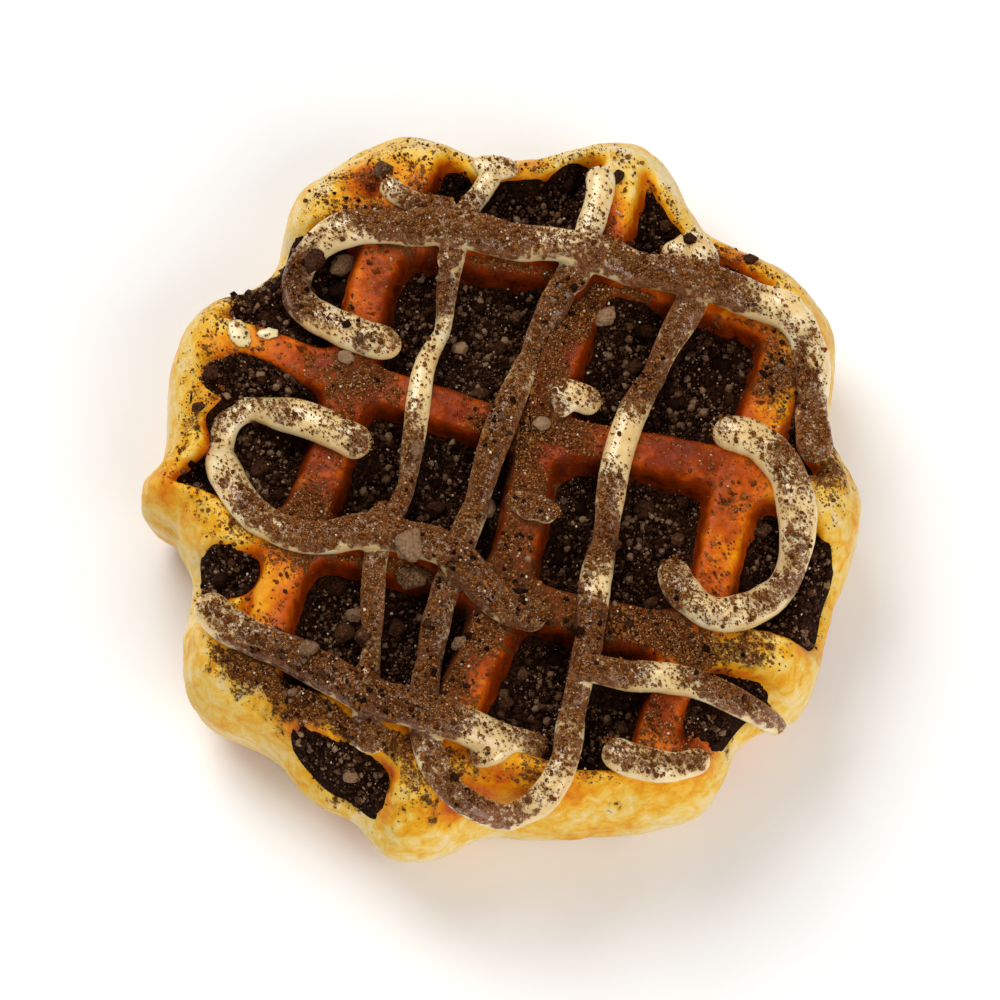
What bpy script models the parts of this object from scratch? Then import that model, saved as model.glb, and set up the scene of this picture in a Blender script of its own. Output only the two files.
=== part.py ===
"""A round Belgian-style waffle under thick cream drizzle and crushed cookie crumb.

The waffle lies flat with its decorated side up. +Z is up, +Y points away from
someone who looks at its near edge, and the origin is on the table under the
middle of the waffle. Sizes are in millimetres until the meshes are made.

The whole waffle is one solid: baked dough with a grid of pockets on both faces,
strands of cream that lie across the ridges and sag into the pockets, and the
larger pieces of cookie. One union joins them.
"""

import math

import bmesh
import bpy
import numpy as np

MM = 0.001

# The baked waffle
THICKNESS = 25.0          # from ridge crown to ridge crown
WEB = 8.0                 # dough left between the two faces of a pocket
ROW_TURN = 15.0           # degrees clockwise that the waffle's grid lies turned
LONG_RIDGE_PITCH = 27.6   # the iron's longer spacing, across the pockets
LONG_RIDGE_START = -23.0
CROSS_RIDGE_PITCH = 23.9  # the iron's shorter spacing
CROSS_RIDGE_START = -42.3
RIDGE_HALF_WIDTH = 3.8    # half the width of a ridge at half its height
RIDGE_WANDER = 0.7        # how far a ridge strays from a straight line
# Places where the grid shrank out of line as it cooled: x, y, reach, shift in x and in y
GRID_BENDS = ((-37.0, 14.6, 6.0, 0.0, 2.6), (-29.5, -38.5, 6.0, 0.0, 2.0), (22.0, -36.0, 7.0, -3.2, 0.0),
              (-13.0, -45.0, 7.0, -3.0, 0.0))
CROWN_FLAT = 0.94         # the level at which the underside is flat
EDGE_ROUND = 6.5          # how far in the outer edge starts to curl round
PLATE_RADIUS = 46.0       # dough past the iron's plate is squeezed thinner
PLATE_FADE = 9.0
FLASH_LOSS = 0.45

# The outer edge, as (bearing in degrees from +X, distance from the middle): each
# lobe is batter that ran out at the end of a ridge, with the dips between them
EDGE = (
    (9, 45.2), (30, 51.3), (51, 46.6), (69, 54.2), (89, 47.3), (107, 53.9),
    (121, 52.3), (136, 44.6), (152, 48.7), (175, 46.2), (183.4, 49.0), (190, 44.7),
    (197, 43.9), (218, 52.0), (231, 49.0), (245, 51.4), (255, 54.3), (270, 49.0),
    (283, 50.3), (299, 53.0), (312, 48.9), (322, 51.3), (339, 48.1), (355, 48.9),
)

# The raised rim that closes most pockets, and where batter left them open
RIM_WIDTH = 3.5
RIM_FADE = 7.5
RIM_LEVEL = 0.8
OPEN_RIM = ((16, 9), (137, 8), (201, 7), (241, 12), (272, 9), (315, 9), (334, 11))  # bearing, half width
# bearing, half width, how much wider the rim is there
RIM_PUFFS = ((115, 10, 4.0), (172, 9, 1.5), (161, 10, 4.0), (214, 10, 3.5), (86, 14, 1.0))

# The bed of fine crumb in each pocket of the upper face
BED_DEPTH = 2.2
BED_LUMP = 0.5
# Where more of it is heaped, some against a wall: x, y, reach, further depth
HEAPS = (
    (-37.0, 13.5, 3.5, 3.0), (-30.5, 12.7, 3.5, 3.0), (-28.5, -38.8, 3.5, 2.6), (-21.0, -41.5, 3.5, 2.6),
    (-31.5, 27.0, 4.0, 2.2), (39.5, -19.0, 4.5, 2.2), (-37.5, -12.5, 3.5, 2.2), (12.5, 25.5, 4.5, 2.6),
    (27.5, -35.5, 3.0, 2.6),
)

# The cream strands: width, then points along the middle of the strand
STRANDS = {
    "left_fall": (3.3, (
        (-0.9, 42.9), (-5.0, 35.5), (-7.3, 25.4), (-8.0, 20.1), (-10.5, 12.4), (-11.8, 2.5),
        (-13.6, -6.1), (-16.6, -14.0), (-17.3, -26.8), (-18.3, -41.1))),
    "tall_loop": (4.2, (
        (13.5, 42.8), (13.3, 37.6), (10.1, 28.1), (5.0, 17.6), (1.3, 7.8), (-2.1, -1.8),
        (-5.5, -13.3), (-9.1, -25.7), (-10.2, -35.9), (-9.2, -43.0), (-5.9, -48.0), (-0.6, -49.9),
        (5.0, -48.5), (8.2, -43.5), (9.4, -35.5), (11.6, -26.5), (12.5, -18.0), (13.9, -10.5),
        (15.2, -2.1), (17.4, 5.4), (21.2, 14.3), (25.6, 21.8), (27.6, 28.1), (26.0, 31.5),
        (23.5, 30.8))),
    "left_loop": (4.9, (
        (-17.6, 0.5), (-23.6, 3.7), (-29.4, 6.3), (-34.1, 8.3), (-37.6, 5.6), (-37.7, 0.2),
        (-35.2, -6.0), (-31.6, -9.9), (-25.7, -12.2), (-17.7, -11.8), (-10.3, -13.3), (-5.8, -16.1),
        (-0.6, -21.2), (6.0, -24.0))),
    "top_sweep": (5.2, (
        (42.3, -0.6), (41.8, 7.6), (41.8, 14.5), (38.5, 20.5), (29.6, 23.5), (18.8, 26.8),
        (9.0, 29.5), (-0.2, 31.4), (-10.4, 32.8), (-20.0, 33.2), (-25.5, 30.9), (-28.1, 27.0),
        (-26.1, 21.5), (-20.5, 17.6), (-13.5, 15.3))),
    "right_loop": (5.0, (
        (28.3, 3.4), (34.2, 1.7), (38.2, -3.1), (39.5, -10.3), (38.1, -16.4), (33.6, -21.8),
        (28.1, -23.1), (23.9, -19.6), (22.4, -14.8))),
    "lower_left_sweep": (5.2, (
        (-39.7, -20.0), (-36.6, -24.2), (-31.6, -27.1), (-25.3, -29.8), (-18.4, -34.6),
        (-8.0, -38.2), (-0.2, -40.3), (6.1, -40.3))),
    "right_hairpin": (4.2, (
        (9.5, -30.7), (15.6, -31.4), (23.5, -32.3), (31.3, -34.7), (37.8, -36.5))),
    "lower_right_curl": (4.7, (
        (13.6, -40.9), (16.8, -43.2), (21.8, -43.9), (27.4, -41.8))),
    "crossbar": (4.0, (
        (6.0, 9.1), (9.9, 8.5), (13.4, 7.2))),
    "stub": (3.4, (
        (0.9, -6.5), (4.2, -7.4), (7.5, -9.0))),
    "top_left_tail": (3.4, (
        (-16.2, 40.8), (-14.0, 38.4), (-10.0, 36.7), (-6.1, 35.3))),
}
STRAND_FLATNESS = 0.74    # height over width
STRAND_SINK = 0.9         # how deep a strand beds into what it lies on
SAG_RADIUS = 11.0         # the tightest bend with which a strand drops off a ridge
STRETCH = 0.045           # the share of its width that a strand loses for each millimetre it sags
STRAND_SIDES = 8
STRAND_STEP = 0.8         # spacing at which a strand's resting height is worked out
RING_SPACING = 4.4

# Cookie pieces placed one by one: x, y, length, width, height, turn in degrees
CHUNKS = (
    (-21.3, 29.7, 4.6, 3.0, 2.6, 25), (-25.4, 28.7, 3.4, 2.6, 2.2, 70),
    (-22.0, 25.7, 3.0, 2.6, 2.2, 10), (-12.1, -14.7, 4.2, 3.4, 3.0, 80),
    (-11.9, -17.8, 4.0, 3.2, 2.8, 15), (-11.3, 0.8, 2.6, 1.7, 1.6, 75),
    (-19.4, -20.9, 2.6, 1.8, 1.6, 0), (-21.0, -23.5, 3.0, 2.6, 2.2, 40),
    (-14.2, -22.7, 2.8, 2.2, 2.0, 60), (-25.5, -28.5, 2.4, 2.0, 1.8, 20),
    (-18.4, -24.9, 2.4, 2.0, 1.7, 50), (-21.7, -17.4, 2.8, 2.2, 1.8, 10),
    (-1.6, -6.2, 2.3, 1.5, 1.5, 85), (14.1, 21.0, 3.0, 2.4, 2.0, 60),
    (18.2, 15.4, 2.6, 2.0, 1.8, 50), (5.3, 4.4, 2.2, 1.8, 1.6, 30),
    (-19.8, -43.8, 2.2, 1.8, 1.5, 0), (19.3, -5.3, 2.8, 2.2, 2.0, 20),
    (13.4, -28.5, 2.0, 1.8, 1.6, 0), (14.9, -12.6, 2.0, 1.7, 1.4, 30),
    (-5.7, 18.0, 2.2, 1.8, 1.6, 0), (-21.1, 14.2, 2.2, 1.8, 1.6, 0),
    (-5.5, -26.6, 2.2, 1.8, 1.6, 40), (25.7, 31.6, 2.6, 2.0, 1.8, 20),
    (34.1, 29.9, 2.6, 1.8, 1.6, 0), (16.0, 41.2, 2.4, 1.8, 1.6, 65),
    (-16.4, 42.5, 3.0, 2.4, 2.2, 35),
)
LOOSE_BITS = 32
BIT_LARGEST = 2.6
BIT_SMALLEST = 1.7
BIT_SPACING = 4.6
BIT_LEVEL = 0.4           # loose bits rolled into the pockets, below this level
BIT_CLEAR = 3.4           # how far a loose bit keeps from the middle of a strand
BIT_REACH = 44.0          # how far from the middle a loose bit may lie
BIT_INSET = 4.0           # how far inside the edge it stays
BIT_RAGGED = 0.22         # how far its corners are pushed about, as a share of its size
BIT_RISE = 0.15           # how far its middle stands over what it lies on, as a share of its height
BIT_SEED = 21

# How finely the solid is made
GRID_CELLS = 120          # cells across the square that is wrapped on to each face
EDGE_SHARE = 0.14         # the outer share of that square that turns round the edge
BODY_TRIANGLES = 4400
WAFFLE_TRIANGLES = 10400   # after the union, which leaves slivers to thin out
TABLE_FLAT = 0.25         # dough lower than this is pressed flat on the table

DOUGH_COLOUR = (0.78, 0.42, 0.08, 1.0)
CREAM_COLOUR = (0.84, 0.74, 0.52, 1.0)
COOKIE_COLOUR = (0.045, 0.028, 0.020, 1.0)


def smooth_step(low, high, value):
    """0 below low, 1 above high, and an even S between them."""
    t = np.clip((value - low) / (high - low), 0.0, 1.0)
    return t * t * (3.0 - 2.0 * t)


def edge_radius(bearing):
    """Distance from the middle to the outer edge: an even S from each lobe to the next dip."""
    angles = np.array([row[0] for row in EDGE], float)
    radii = np.array([row[1] for row in EDGE])
    degrees = np.degrees(bearing) % 360.0
    after = np.searchsorted(angles, degrees) % len(EDGE)
    before = after - 1
    span = (angles[after] - angles[before]) % 360.0
    t = ((degrees - angles[before]) % 360.0) / span
    return radii[before] + (radii[after] - radii[before]) * smooth_step(0.0, 1.0, t)


def edge_inset(x, y):
    """How far a point lies inside the edge, measured square to the edge."""
    bearing = np.arctan2(y, x)
    step = math.radians(1.0)
    radius = edge_radius(bearing)
    slope = (edge_radius(bearing + step) - edge_radius(bearing - step)) / (2.0 * step)
    return (radius - np.hypot(x, y)) / np.hypot(1.0, slope / radius)


def ridge_level(x, y):
    """1 on the ridges and 0 in the pockets: each ridge falls off as 1 / (1 + t^5)."""
    for middle_x, middle_y, reach, shift_x, shift_y in GRID_BENDS:
        near = np.exp(-((x - middle_x) ** 2 + (y - middle_y) ** 2) / (2.0 * reach ** 2))
        x, y = x - shift_x * near, y - shift_y * near
    turn = math.radians(ROW_TURN)
    along = x * math.cos(turn) - y * math.sin(turn)
    across = x * math.sin(turn) + y * math.cos(turn)
    along = along + RIDGE_WANDER * np.sin(across / 8.0 + along / 19.0)
    across = across + RIDGE_WANDER * np.sin(along / 9.0 + 1.3 + across / 15.0)
    pocket = 1.0
    for value, start, pitch in ((along, LONG_RIDGE_START, LONG_RIDGE_PITCH),
                                (across, CROSS_RIDGE_START, CROSS_RIDGE_PITCH)):
        offset = (value - start + pitch / 2.0) % pitch - pitch / 2.0
        pocket = pocket * (1.0 - 1.0 / (1.0 + np.abs(offset / RIDGE_HALF_WIDTH) ** 5))
    return 1.0 - pocket


def rim_level(x, y):
    """The puffy rim along the outer edge, gone where a pocket runs out through it."""
    bearing = np.degrees(np.arctan2(y, x))
    closed = 1.0
    for middle, half_width in OPEN_RIM:
        away = np.abs((bearing - middle + 180.0) % 360.0 - 180.0)
        closed = closed * smooth_step(0.5 * half_width, 1.4 * half_width, away)
    inset = edge_inset(x, y)
    for middle, half_width, wider in RIM_PUFFS:
        away = np.abs((bearing - middle + 180.0) % 360.0 - 180.0)
        inset = inset - wider * (1.0 - smooth_step(0.4 * half_width, half_width, away))
    return RIM_LEVEL * closed * (1.0 - smooth_step(RIM_WIDTH, RIM_FADE, inset))


def half_thickness(x, y):
    """Height of the dough above its middle plane, curling to nothing at the edge."""
    ridge = ridge_level(x, y)
    level = 1.0 - (1.0 - ridge) * (1.0 - rim_level(x, y))
    flash = 1.0 - FLASH_LOSS * smooth_step(PLATE_RADIUS, PLATE_RADIUS + PLATE_FADE, np.hypot(x, y))
    full = (WEB / 2.0 + (THICKNESS - WEB) / 2.0 * np.minimum(level / CROWN_FLAT, 1.0)) * flash
    reach = EDGE_ROUND * (0.4 + 0.6 * full / (THICKNESS / 2.0))
    t = np.clip(edge_inset(x, y) / reach, 0.0, 1.0)
    return full * np.sqrt(1.0 - (1.0 - t) ** 2)


def crumb_bed(x, y):
    """Depth of the crumb that fills the bottom of the upper pockets, with lumps in it."""
    floor = (1.0 - ridge_level(x, y)) * (1.0 - rim_level(x, y))
    lumps = np.sin(x * 1.0 + 1.5 * np.sin(y * 0.4)) * np.sin(y * 0.9 + 1.5 * np.sin(x * 0.35))
    depth = floor ** 2 * (BED_DEPTH + BED_LUMP * lumps)
    for middle_x, middle_y, reach, height in HEAPS:
        depth = depth + height * floor * np.exp(-((x - middle_x) ** 2 + (y - middle_y) ** 2) / (2.0 * reach ** 2))
    return depth * smooth_step(0.5, 4.0, edge_inset(x, y))


def upper_surface(x, y):
    """Height of the upper face over the table."""
    return THICKNESS / 2.0 + half_thickness(x, y) + crumb_bed(x, y)


def lower_surface(x, y):
    """Height of the lower face over the table: the same grid, upside down."""
    return THICKNESS / 2.0 - half_thickness(x, y)


def curve_through(points, step):
    """A Catmull-Rom curve through the points, read off about every step millimetres."""
    points = np.array(points, float)
    ends = (2.0 * points[:1] - points[1:2], points, 2.0 * points[-1:] - points[-2:-1])
    p = np.concatenate(ends)[:, None, :]
    t = np.linspace(0.0, 1.0, 24, endpoint=False)[None, :, None]
    a, b, c, d = p[:-3], p[1:-2], p[2:-1], p[3:]
    curve = 0.5 * (2.0 * b + (c - a) * t + (2.0 * a - 5.0 * b + 4.0 * c - d) * t ** 2
                   + (3.0 * b - a - 3.0 * c + d) * t ** 3)
    curve = np.concatenate((curve.reshape(-1, 2), points[-1:]))
    length = np.concatenate(([0.0], np.cumsum(np.hypot(*np.diff(curve, axis=0).T))))
    places = np.linspace(0.0, length[-1], max(3, round(length[-1] / step) + 1))
    return np.stack([np.interp(places, length, curve[:, k]) for k in (0, 1)], axis=1), places


def top_of(strand, x, y):
    """Height of a strand's upper side over each point, or nothing where it doesn't reach."""
    middle, width, height = strand
    away = np.hypot(x[:, None] - middle[None, :, 0], y[:, None] - middle[None, :, 1])
    nearest = np.argmin(away, axis=1)
    t = np.clip(away[np.arange(len(x)), nearest] / (width[nearest] / 2.0), 0.0, 1.0)
    top = middle[nearest, 2] + height[nearest] / 2.0 * np.sqrt(1.0 - t ** 2)
    return np.where(t < 1.0, top, -math.inf)


def ground_under(x, y, strands):
    """The highest of the waffle and the strands laid so far, at each point."""
    height = upper_surface(x, y)
    for strand in strands:
        height = np.maximum(height, top_of(strand, x, y))
    return height


def lay_strand(points, width, strands):
    """The middle line of a strand that rests on the ridges and sags between them.

    Where the ground drops, the strand leaves it on a parabola that curves no
    tighter than SAG_RADIUS. It is stretched thinner the further it sags.
    """
    flat, places = curve_through(points, STRAND_STEP)
    ground = ground_under(flat[:, 0], flat[:, 1], strands)
    gap = places[:, None] - places[None, :]
    rest = np.max(ground[None, :] - gap ** 2 / (2.0 * SAG_RADIUS), axis=1)
    wide = width * (1.0 - STRETCH * np.clip(THICKNESS - rest, 0.0, 6.0))
    high = wide * STRAND_FLATNESS
    middle = np.column_stack((flat, rest - STRAND_SINK + high / 2.0))
    return middle, wide, high


def mesh_object(name, vertices, faces, material):
    """A mesh object from points in millimetres."""
    mesh = bpy.data.meshes.new(name)
    mesh.from_pydata((np.asarray(vertices) * MM).tolist(), [], faces)
    mesh.materials.append(material)
    mesh.update()
    new_object = bpy.data.objects.new(name, mesh)
    bpy.context.scene.collection.objects.link(new_object)
    return new_object


def make_material(name, colour, roughness):
    """A plain Principled material."""
    material = bpy.data.materials.new(name)
    material.use_nodes = True
    shader = material.node_tree.nodes["Principled BSDF"]
    shader.inputs["Base Color"].default_value = colour
    shader.inputs["Roughness"].default_value = roughness
    shader.inputs["Metallic"].default_value = 0.0
    return material


def replace_by_evaluated(target):
    """Bakes an object's modifiers into its own mesh."""
    depsgraph = bpy.context.evaluated_depsgraph_get()
    baked = bpy.data.meshes.new_from_object(target.evaluated_get(depsgraph))
    target.modifiers.clear()
    target.data = baked


def thin_out(target, triangles):
    """Merges the least useful edges until about this many triangles are left."""
    collapse = target.modifiers.new("thin_out", "DECIMATE")
    collapse.ratio = min(1.0, triangles / len(target.data.polygons))
    replace_by_evaluated(target)


def press_on_table(target):
    """Sets the lowest crowns of the dough flat on the table."""
    for vert in target.data.vertices:
        if vert.co.z < TABLE_FLAT * MM:
            vert.co.z = 0.0


def make_dough(material):
    """The baked body: a square grid wrapped on to the disc, once for each face.

    A point of the square at distance s from its middle, counted square-wise, goes to
    the share s of the way to the edge. The last rings turn round the edge instead,
    each by the same angle.
    """
    ticks = np.linspace(-1.0, 1.0, GRID_CELLS + 1)
    u, v = np.meshgrid(ticks, ticks)
    share = np.maximum(np.abs(u), np.abs(v))
    swing = np.where(np.abs(u) >= np.abs(v), np.divide(v, u, out=np.zeros_like(u), where=u != 0.0),
                     np.divide(u, v, out=np.zeros_like(u), where=v != 0.0)) * math.pi / 4.0
    bearing = np.where(np.abs(u) >= np.abs(v), np.where(u >= 0.0, swing, swing + math.pi),
                       np.where(v >= 0.0, math.pi / 2.0 - swing, -math.pi / 2.0 - swing))
    radius = edge_radius(bearing)
    turned = np.clip((1.0 - share) / EDGE_SHARE, 0.0, 1.0) * math.pi / 2.0
    flat_share = share / (1.0 - EDGE_SHARE) * (1.0 - EDGE_ROUND / radius)
    distance = np.where(share > 1.0 - EDGE_SHARE, radius - EDGE_ROUND * (1.0 - np.cos(turned)),
                        radius * flat_share)
    x = (distance * np.cos(bearing)).ravel()
    y = (distance * np.sin(bearing)).ravel()
    on_edge = (share == 1.0).ravel()
    count = len(x)
    upper = np.column_stack((x, y, np.where(on_edge, THICKNESS / 2.0, upper_surface(x, y))))
    lower = np.column_stack((x, y, lower_surface(x, y)))
    lower_number = np.arange(count) + count
    lower_number[on_edge] = np.arange(count)[on_edge]
    corner = (np.arange(GRID_CELLS)[:, None] * (GRID_CELLS + 1) + np.arange(GRID_CELLS)).ravel()
    quads = np.column_stack((corner, corner + 1, corner + GRID_CELLS + 2, corner + GRID_CELLS + 1))
    faces = quads.tolist() + lower_number[quads[:, ::-1]].tolist()
    dough = mesh_object("waffle", np.concatenate((upper, lower)), faces, material)
    mesh = bmesh.new()
    mesh.from_mesh(dough.data)
    bmesh.ops.delete(mesh, geom=[vert for vert in mesh.verts if not vert.link_faces], context="VERTS")
    bmesh.ops.triangulate(mesh, faces=mesh.faces)
    mesh.to_mesh(dough.data)
    mesh.free()
    thin_out(dough, BODY_TRIANGLES)
    return dough


def make_strand(name, strand, material):
    """A closed tube with an oval section and round ends, along the strand's middle line."""
    middle, width, height = strand
    length = np.concatenate(([0.0], np.cumsum(np.linalg.norm(np.diff(middle, axis=0), axis=1))))
    cap = np.array([0.18, 0.5, 1.0])
    start, end = width[0] / 2.0 * cap, width[-1] / 2.0 * cap
    body = np.linspace(start[-1], length[-1] - end[-1],
                       max(2, round((length[-1] - width.mean()) / RING_SPACING) + 1))[1:-1]
    places = np.concatenate((start, body, length[-1] - end[::-1]))
    size = np.ones(len(places))
    size[:3] = np.sqrt(1.0 - (1.0 - cap) ** 2)
    size[-3:] = size[2::-1]
    wide = size * np.interp(places, length, width)
    high = size * np.interp(places, length, height)
    centre = np.stack([np.interp(places, length, middle[:, k]) for k in range(3)], axis=1)
    ahead = np.stack([np.interp(places + 0.5, length, middle[:, k]) for k in range(3)], axis=1)
    behind = np.stack([np.interp(places - 0.5, length, middle[:, k]) for k in range(3)], axis=1)
    heading = ahead - behind
    heading /= np.linalg.norm(heading, axis=1)[:, None]
    side = np.column_stack((-heading[:, 1], heading[:, 0], np.zeros(len(places))))
    side /= np.linalg.norm(side, axis=1)[:, None]
    upward = np.cross(heading, side)
    turn = np.arange(STRAND_SIDES) * 2.0 * math.pi / STRAND_SIDES
    rings = (centre[:, None]
             + side[:, None] * (wide[:, None] / 2.0 * np.cos(turn))[..., None]
             + upward[:, None] * (high[:, None] / 2.0 * np.sin(turn))[..., None])
    vertices = np.concatenate((rings.reshape(-1, 3), middle[:1], middle[-1:]))
    faces = []
    for ring in range(len(places) - 1):
        for k in range(STRAND_SIDES):
            a = ring * STRAND_SIDES + k
            b = ring * STRAND_SIDES + (k + 1) % STRAND_SIDES
            faces.append((a, b, b + STRAND_SIDES, a + STRAND_SIDES))
    first, last = len(vertices) - 2, len(vertices) - 1
    last_ring = (len(places) - 1) * STRAND_SIDES
    for k in range(STRAND_SIDES):
        faces.append((first, (k + 1) % STRAND_SIDES, k))
        faces.append((last, last_ring + k, last_ring + (k + 1) % STRAND_SIDES))
    return face_outwards(mesh_object(name, vertices, faces, material))


def face_outwards(target):
    """Splits faces into triangles and turns them all outwards."""
    mesh = bmesh.new()
    mesh.from_mesh(target.data)
    bmesh.ops.triangulate(mesh, faces=mesh.faces)
    bmesh.ops.recalc_face_normals(mesh, faces=mesh.faces)
    mesh.to_mesh(target.data)
    mesh.free()
    return target


def make_bit(name, place, size, turn, draw, material):
    """A broken piece of cookie: a squashed 20-sided lump with its corners pushed about."""
    mesh = bmesh.new()
    bmesh.ops.create_icosphere(mesh, subdivisions=1, radius=0.5)
    vertices = np.array([vert.co[:] for vert in mesh.verts])
    faces = [[vert.index for vert in face.verts] for face in mesh.faces]
    mesh.free()
    vertices = vertices * (1.0 + BIT_RAGGED * draw.uniform(-1.0, 1.0, (len(vertices), 1))) * size
    c, s = math.cos(turn), math.sin(turn)
    spin = np.array(((c, s, 0.0), (-s, c, 0.0), (0.0, 0.0, 1.0)))
    return face_outwards(mesh_object(name, vertices @ spin + place, faces, material))


def make_bits(strands, material):
    """The placed chunks, then loose bits from largest to smallest, spread by a seeded draw."""
    draw = np.random.default_rng(BIT_SEED)
    lines = np.concatenate([curve_through(points, 1.0)[0] for width, points in STRANDS.values()])
    rows = list(CHUNKS)
    while len(rows) < len(CHUNKS) + LOOSE_BITS:
        bearing = draw.uniform(0.0, 2.0 * math.pi)
        x, y = np.array((math.cos(bearing), math.sin(bearing))) * BIT_REACH * math.sqrt(draw.uniform())
        if edge_inset(np.array(x), np.array(y)) < BIT_INSET or ridge_level(x, y) > BIT_LEVEL:
            continue
        if np.min(np.hypot(lines[:, 0] - x, lines[:, 1] - y)) < BIT_CLEAR:
            continue
        if min(math.hypot(x - row[0], y - row[1]) for row in rows) < BIT_SPACING:
            continue
        share = (len(rows) - len(CHUNKS)) / LOOSE_BITS
        size = BIT_LARGEST + (BIT_SMALLEST - BIT_LARGEST) * share
        rows.append((x, y, size, size * draw.uniform(0.7, 0.95), size * draw.uniform(0.6, 0.8),
                     draw.uniform(0.0, 360.0)))
    bits = []
    for number, (x, y, length, width, height, turn) in enumerate(rows):
        top = ground_under(np.array([x]), np.array([y]), strands)[0]
        place = np.array((x, y, top + BIT_RISE * height))
        bits.append(make_bit(f"bit_{number}", place, np.array((length, width, height)),
                             math.radians(turn), draw, material))
    return bits


def fuse(body, pieces):
    """Joins the pieces to the body with one union and clears them away."""
    group = bpy.data.collections.new("toppings")
    bpy.context.scene.collection.children.link(group)
    for piece in pieces:
        bpy.context.scene.collection.objects.unlink(piece)
        group.objects.link(piece)
    union = body.modifiers.new("toppings", "BOOLEAN")
    union.operation = "UNION"
    union.operand_type = "COLLECTION"
    union.collection = group
    union.solver = "EXACT"
    union.material_mode = "TRANSFER"
    replace_by_evaluated(body)
    for piece in pieces:
        bpy.data.objects.remove(piece, do_unlink=True)
    bpy.data.collections.remove(group)


def keep_outer_skin(body):
    """Deletes every closed shell but the largest, so a sealed hollow is filled."""
    mesh = bmesh.new()
    mesh.from_mesh(body.data)
    bmesh.ops.triangulate(mesh, faces=mesh.faces)
    mesh.verts.ensure_lookup_table()
    left = set(mesh.verts)
    shells = []
    while left:
        shell = set()
        front = [left.pop()]
        while front:
            vert = front.pop()
            shell.add(vert)
            near = [edge.other_vert(vert) for edge in vert.link_edges]
            fresh = [other for other in near if other in left]
            left.difference_update(fresh)
            front.extend(fresh)
        shells.append(shell)
    shells.sort(key=len, reverse=True)
    scraps = [vert for shell in shells[1:] for vert in shell]
    bmesh.ops.delete(mesh, geom=scraps, context="VERTS")
    mesh.to_mesh(body.data)
    mesh.free()


def main():
    for old in list(bpy.data.objects):
        bpy.data.objects.remove(old, do_unlink=True)
    dough_material = make_material("baked_dough", DOUGH_COLOUR, 0.45)
    cream_material = make_material("cream_sauce", CREAM_COLOUR, 0.28)
    cookie_material = make_material("cookie_crumb", COOKIE_COLOUR, 0.7)
    waffle = make_dough(dough_material)
    strands = []
    pieces = []
    for name, (width, points) in STRANDS.items():
        strand = lay_strand(points, width, strands)
        strands.append(strand)
        pieces.append(make_strand(name, strand, cream_material))
    pieces += make_bits(strands, cookie_material)
    fuse(waffle, pieces)
    keep_outer_skin(waffle)
    thin_out(waffle, WAFFLE_TRIANGLES)
    press_on_table(waffle)
    waffle.data.shade_smooth()
    waffle.data.set_sharp_from_angle(angle=math.radians(50.0))
    print("waffle:", len(waffle.data.polygons), "triangles")


main()
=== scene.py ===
# %% [markdown]
# # A waffle with cream drizzle and cookie crumb
#
# A thick round waffle lies on a pale table. Its pockets are full of dark crushed
# cookie, cream sauce runs over it in loops, and fine crumb powder covers both.
# The lesson builds it in the order of a kitchen: bake the dough, fill the pockets,
# lay the cream, then throw the crumbs. Each layer rests on the ones before it.

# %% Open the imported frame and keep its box
import math

import bpy
import numpy as np
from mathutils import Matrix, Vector


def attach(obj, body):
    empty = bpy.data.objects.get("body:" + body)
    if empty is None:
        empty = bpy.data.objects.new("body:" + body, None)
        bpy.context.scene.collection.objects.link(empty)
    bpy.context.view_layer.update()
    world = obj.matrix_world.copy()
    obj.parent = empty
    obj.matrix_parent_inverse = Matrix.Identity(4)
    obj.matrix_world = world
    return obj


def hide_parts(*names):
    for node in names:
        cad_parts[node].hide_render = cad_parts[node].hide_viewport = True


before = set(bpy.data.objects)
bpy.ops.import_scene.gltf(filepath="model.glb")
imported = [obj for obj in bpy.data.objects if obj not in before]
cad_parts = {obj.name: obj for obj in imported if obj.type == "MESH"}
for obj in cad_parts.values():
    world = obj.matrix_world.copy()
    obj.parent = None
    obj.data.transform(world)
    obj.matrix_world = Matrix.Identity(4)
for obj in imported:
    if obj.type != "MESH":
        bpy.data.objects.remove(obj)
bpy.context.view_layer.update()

MM = 0.001
BODY = "root"

# %% [markdown]
# ## Tools for shapes
#
# Every surface here is worked out as whole numpy arrays: points in one array of
# rows, triangles in another. A modelling tool would do for one shape, but a
# waffle needs the same numbers again and again, to rest cream on ridges and
# crumbs on cream, so arrays are the better choice. A few helpers are enough: an
# S-shaped step, a bell for round patches, a soft noise for everything uneven,
# ways to number triangles, and one way to make a mesh of it all.


# %% Helpers for shapes
def smooth_step(low, high, value):
    """0 below low, 1 above high, and 3 t^2 - 2 t^3 of the way between them."""
    t = np.clip((value - low) / (high - low), 0, 1)
    return t * t * (3 - 2 * t)


def bell(x, y, middle_x, middle_y, reach):
    """1 in the middle of a round patch, falling off as exp(-distance^2 / (2 reach^2))."""
    return np.exp(-((x - middle_x) ** 2 + (y - middle_y) ** 2) / (2 * reach ** 2))


def degrees_apart(bearing, middle):
    """The angle between two bearings in degrees, 180 at most."""
    return np.abs((bearing - middle + 180) % 360 - 180)


NOISE_CELLS = 37         # cells a side after which soft noise repeats


def soft_noise(points, size, seed):
    """Random values on a cubic lattice with cells of this size, eased in between: -1 to 1.

    points has rows of x, y, z in millimetres.
    """
    table = np.random.default_rng(seed).uniform(-1, 1, (NOISE_CELLS,) * 3)
    place = np.asarray(points) / size
    corner = np.floor(place).astype(int)
    share = smooth_step(0, 1, place - corner)
    total = 0
    for step in np.ndindex(2, 2, 2):
        weight = np.prod(np.where(np.array(step) == 1, share, 1 - share), axis=-1)
        i, j, k = np.moveaxis((corner + step) % NOISE_CELLS, -1, 0)
        total = total + weight * table[i, j, k]
    return total


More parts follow.
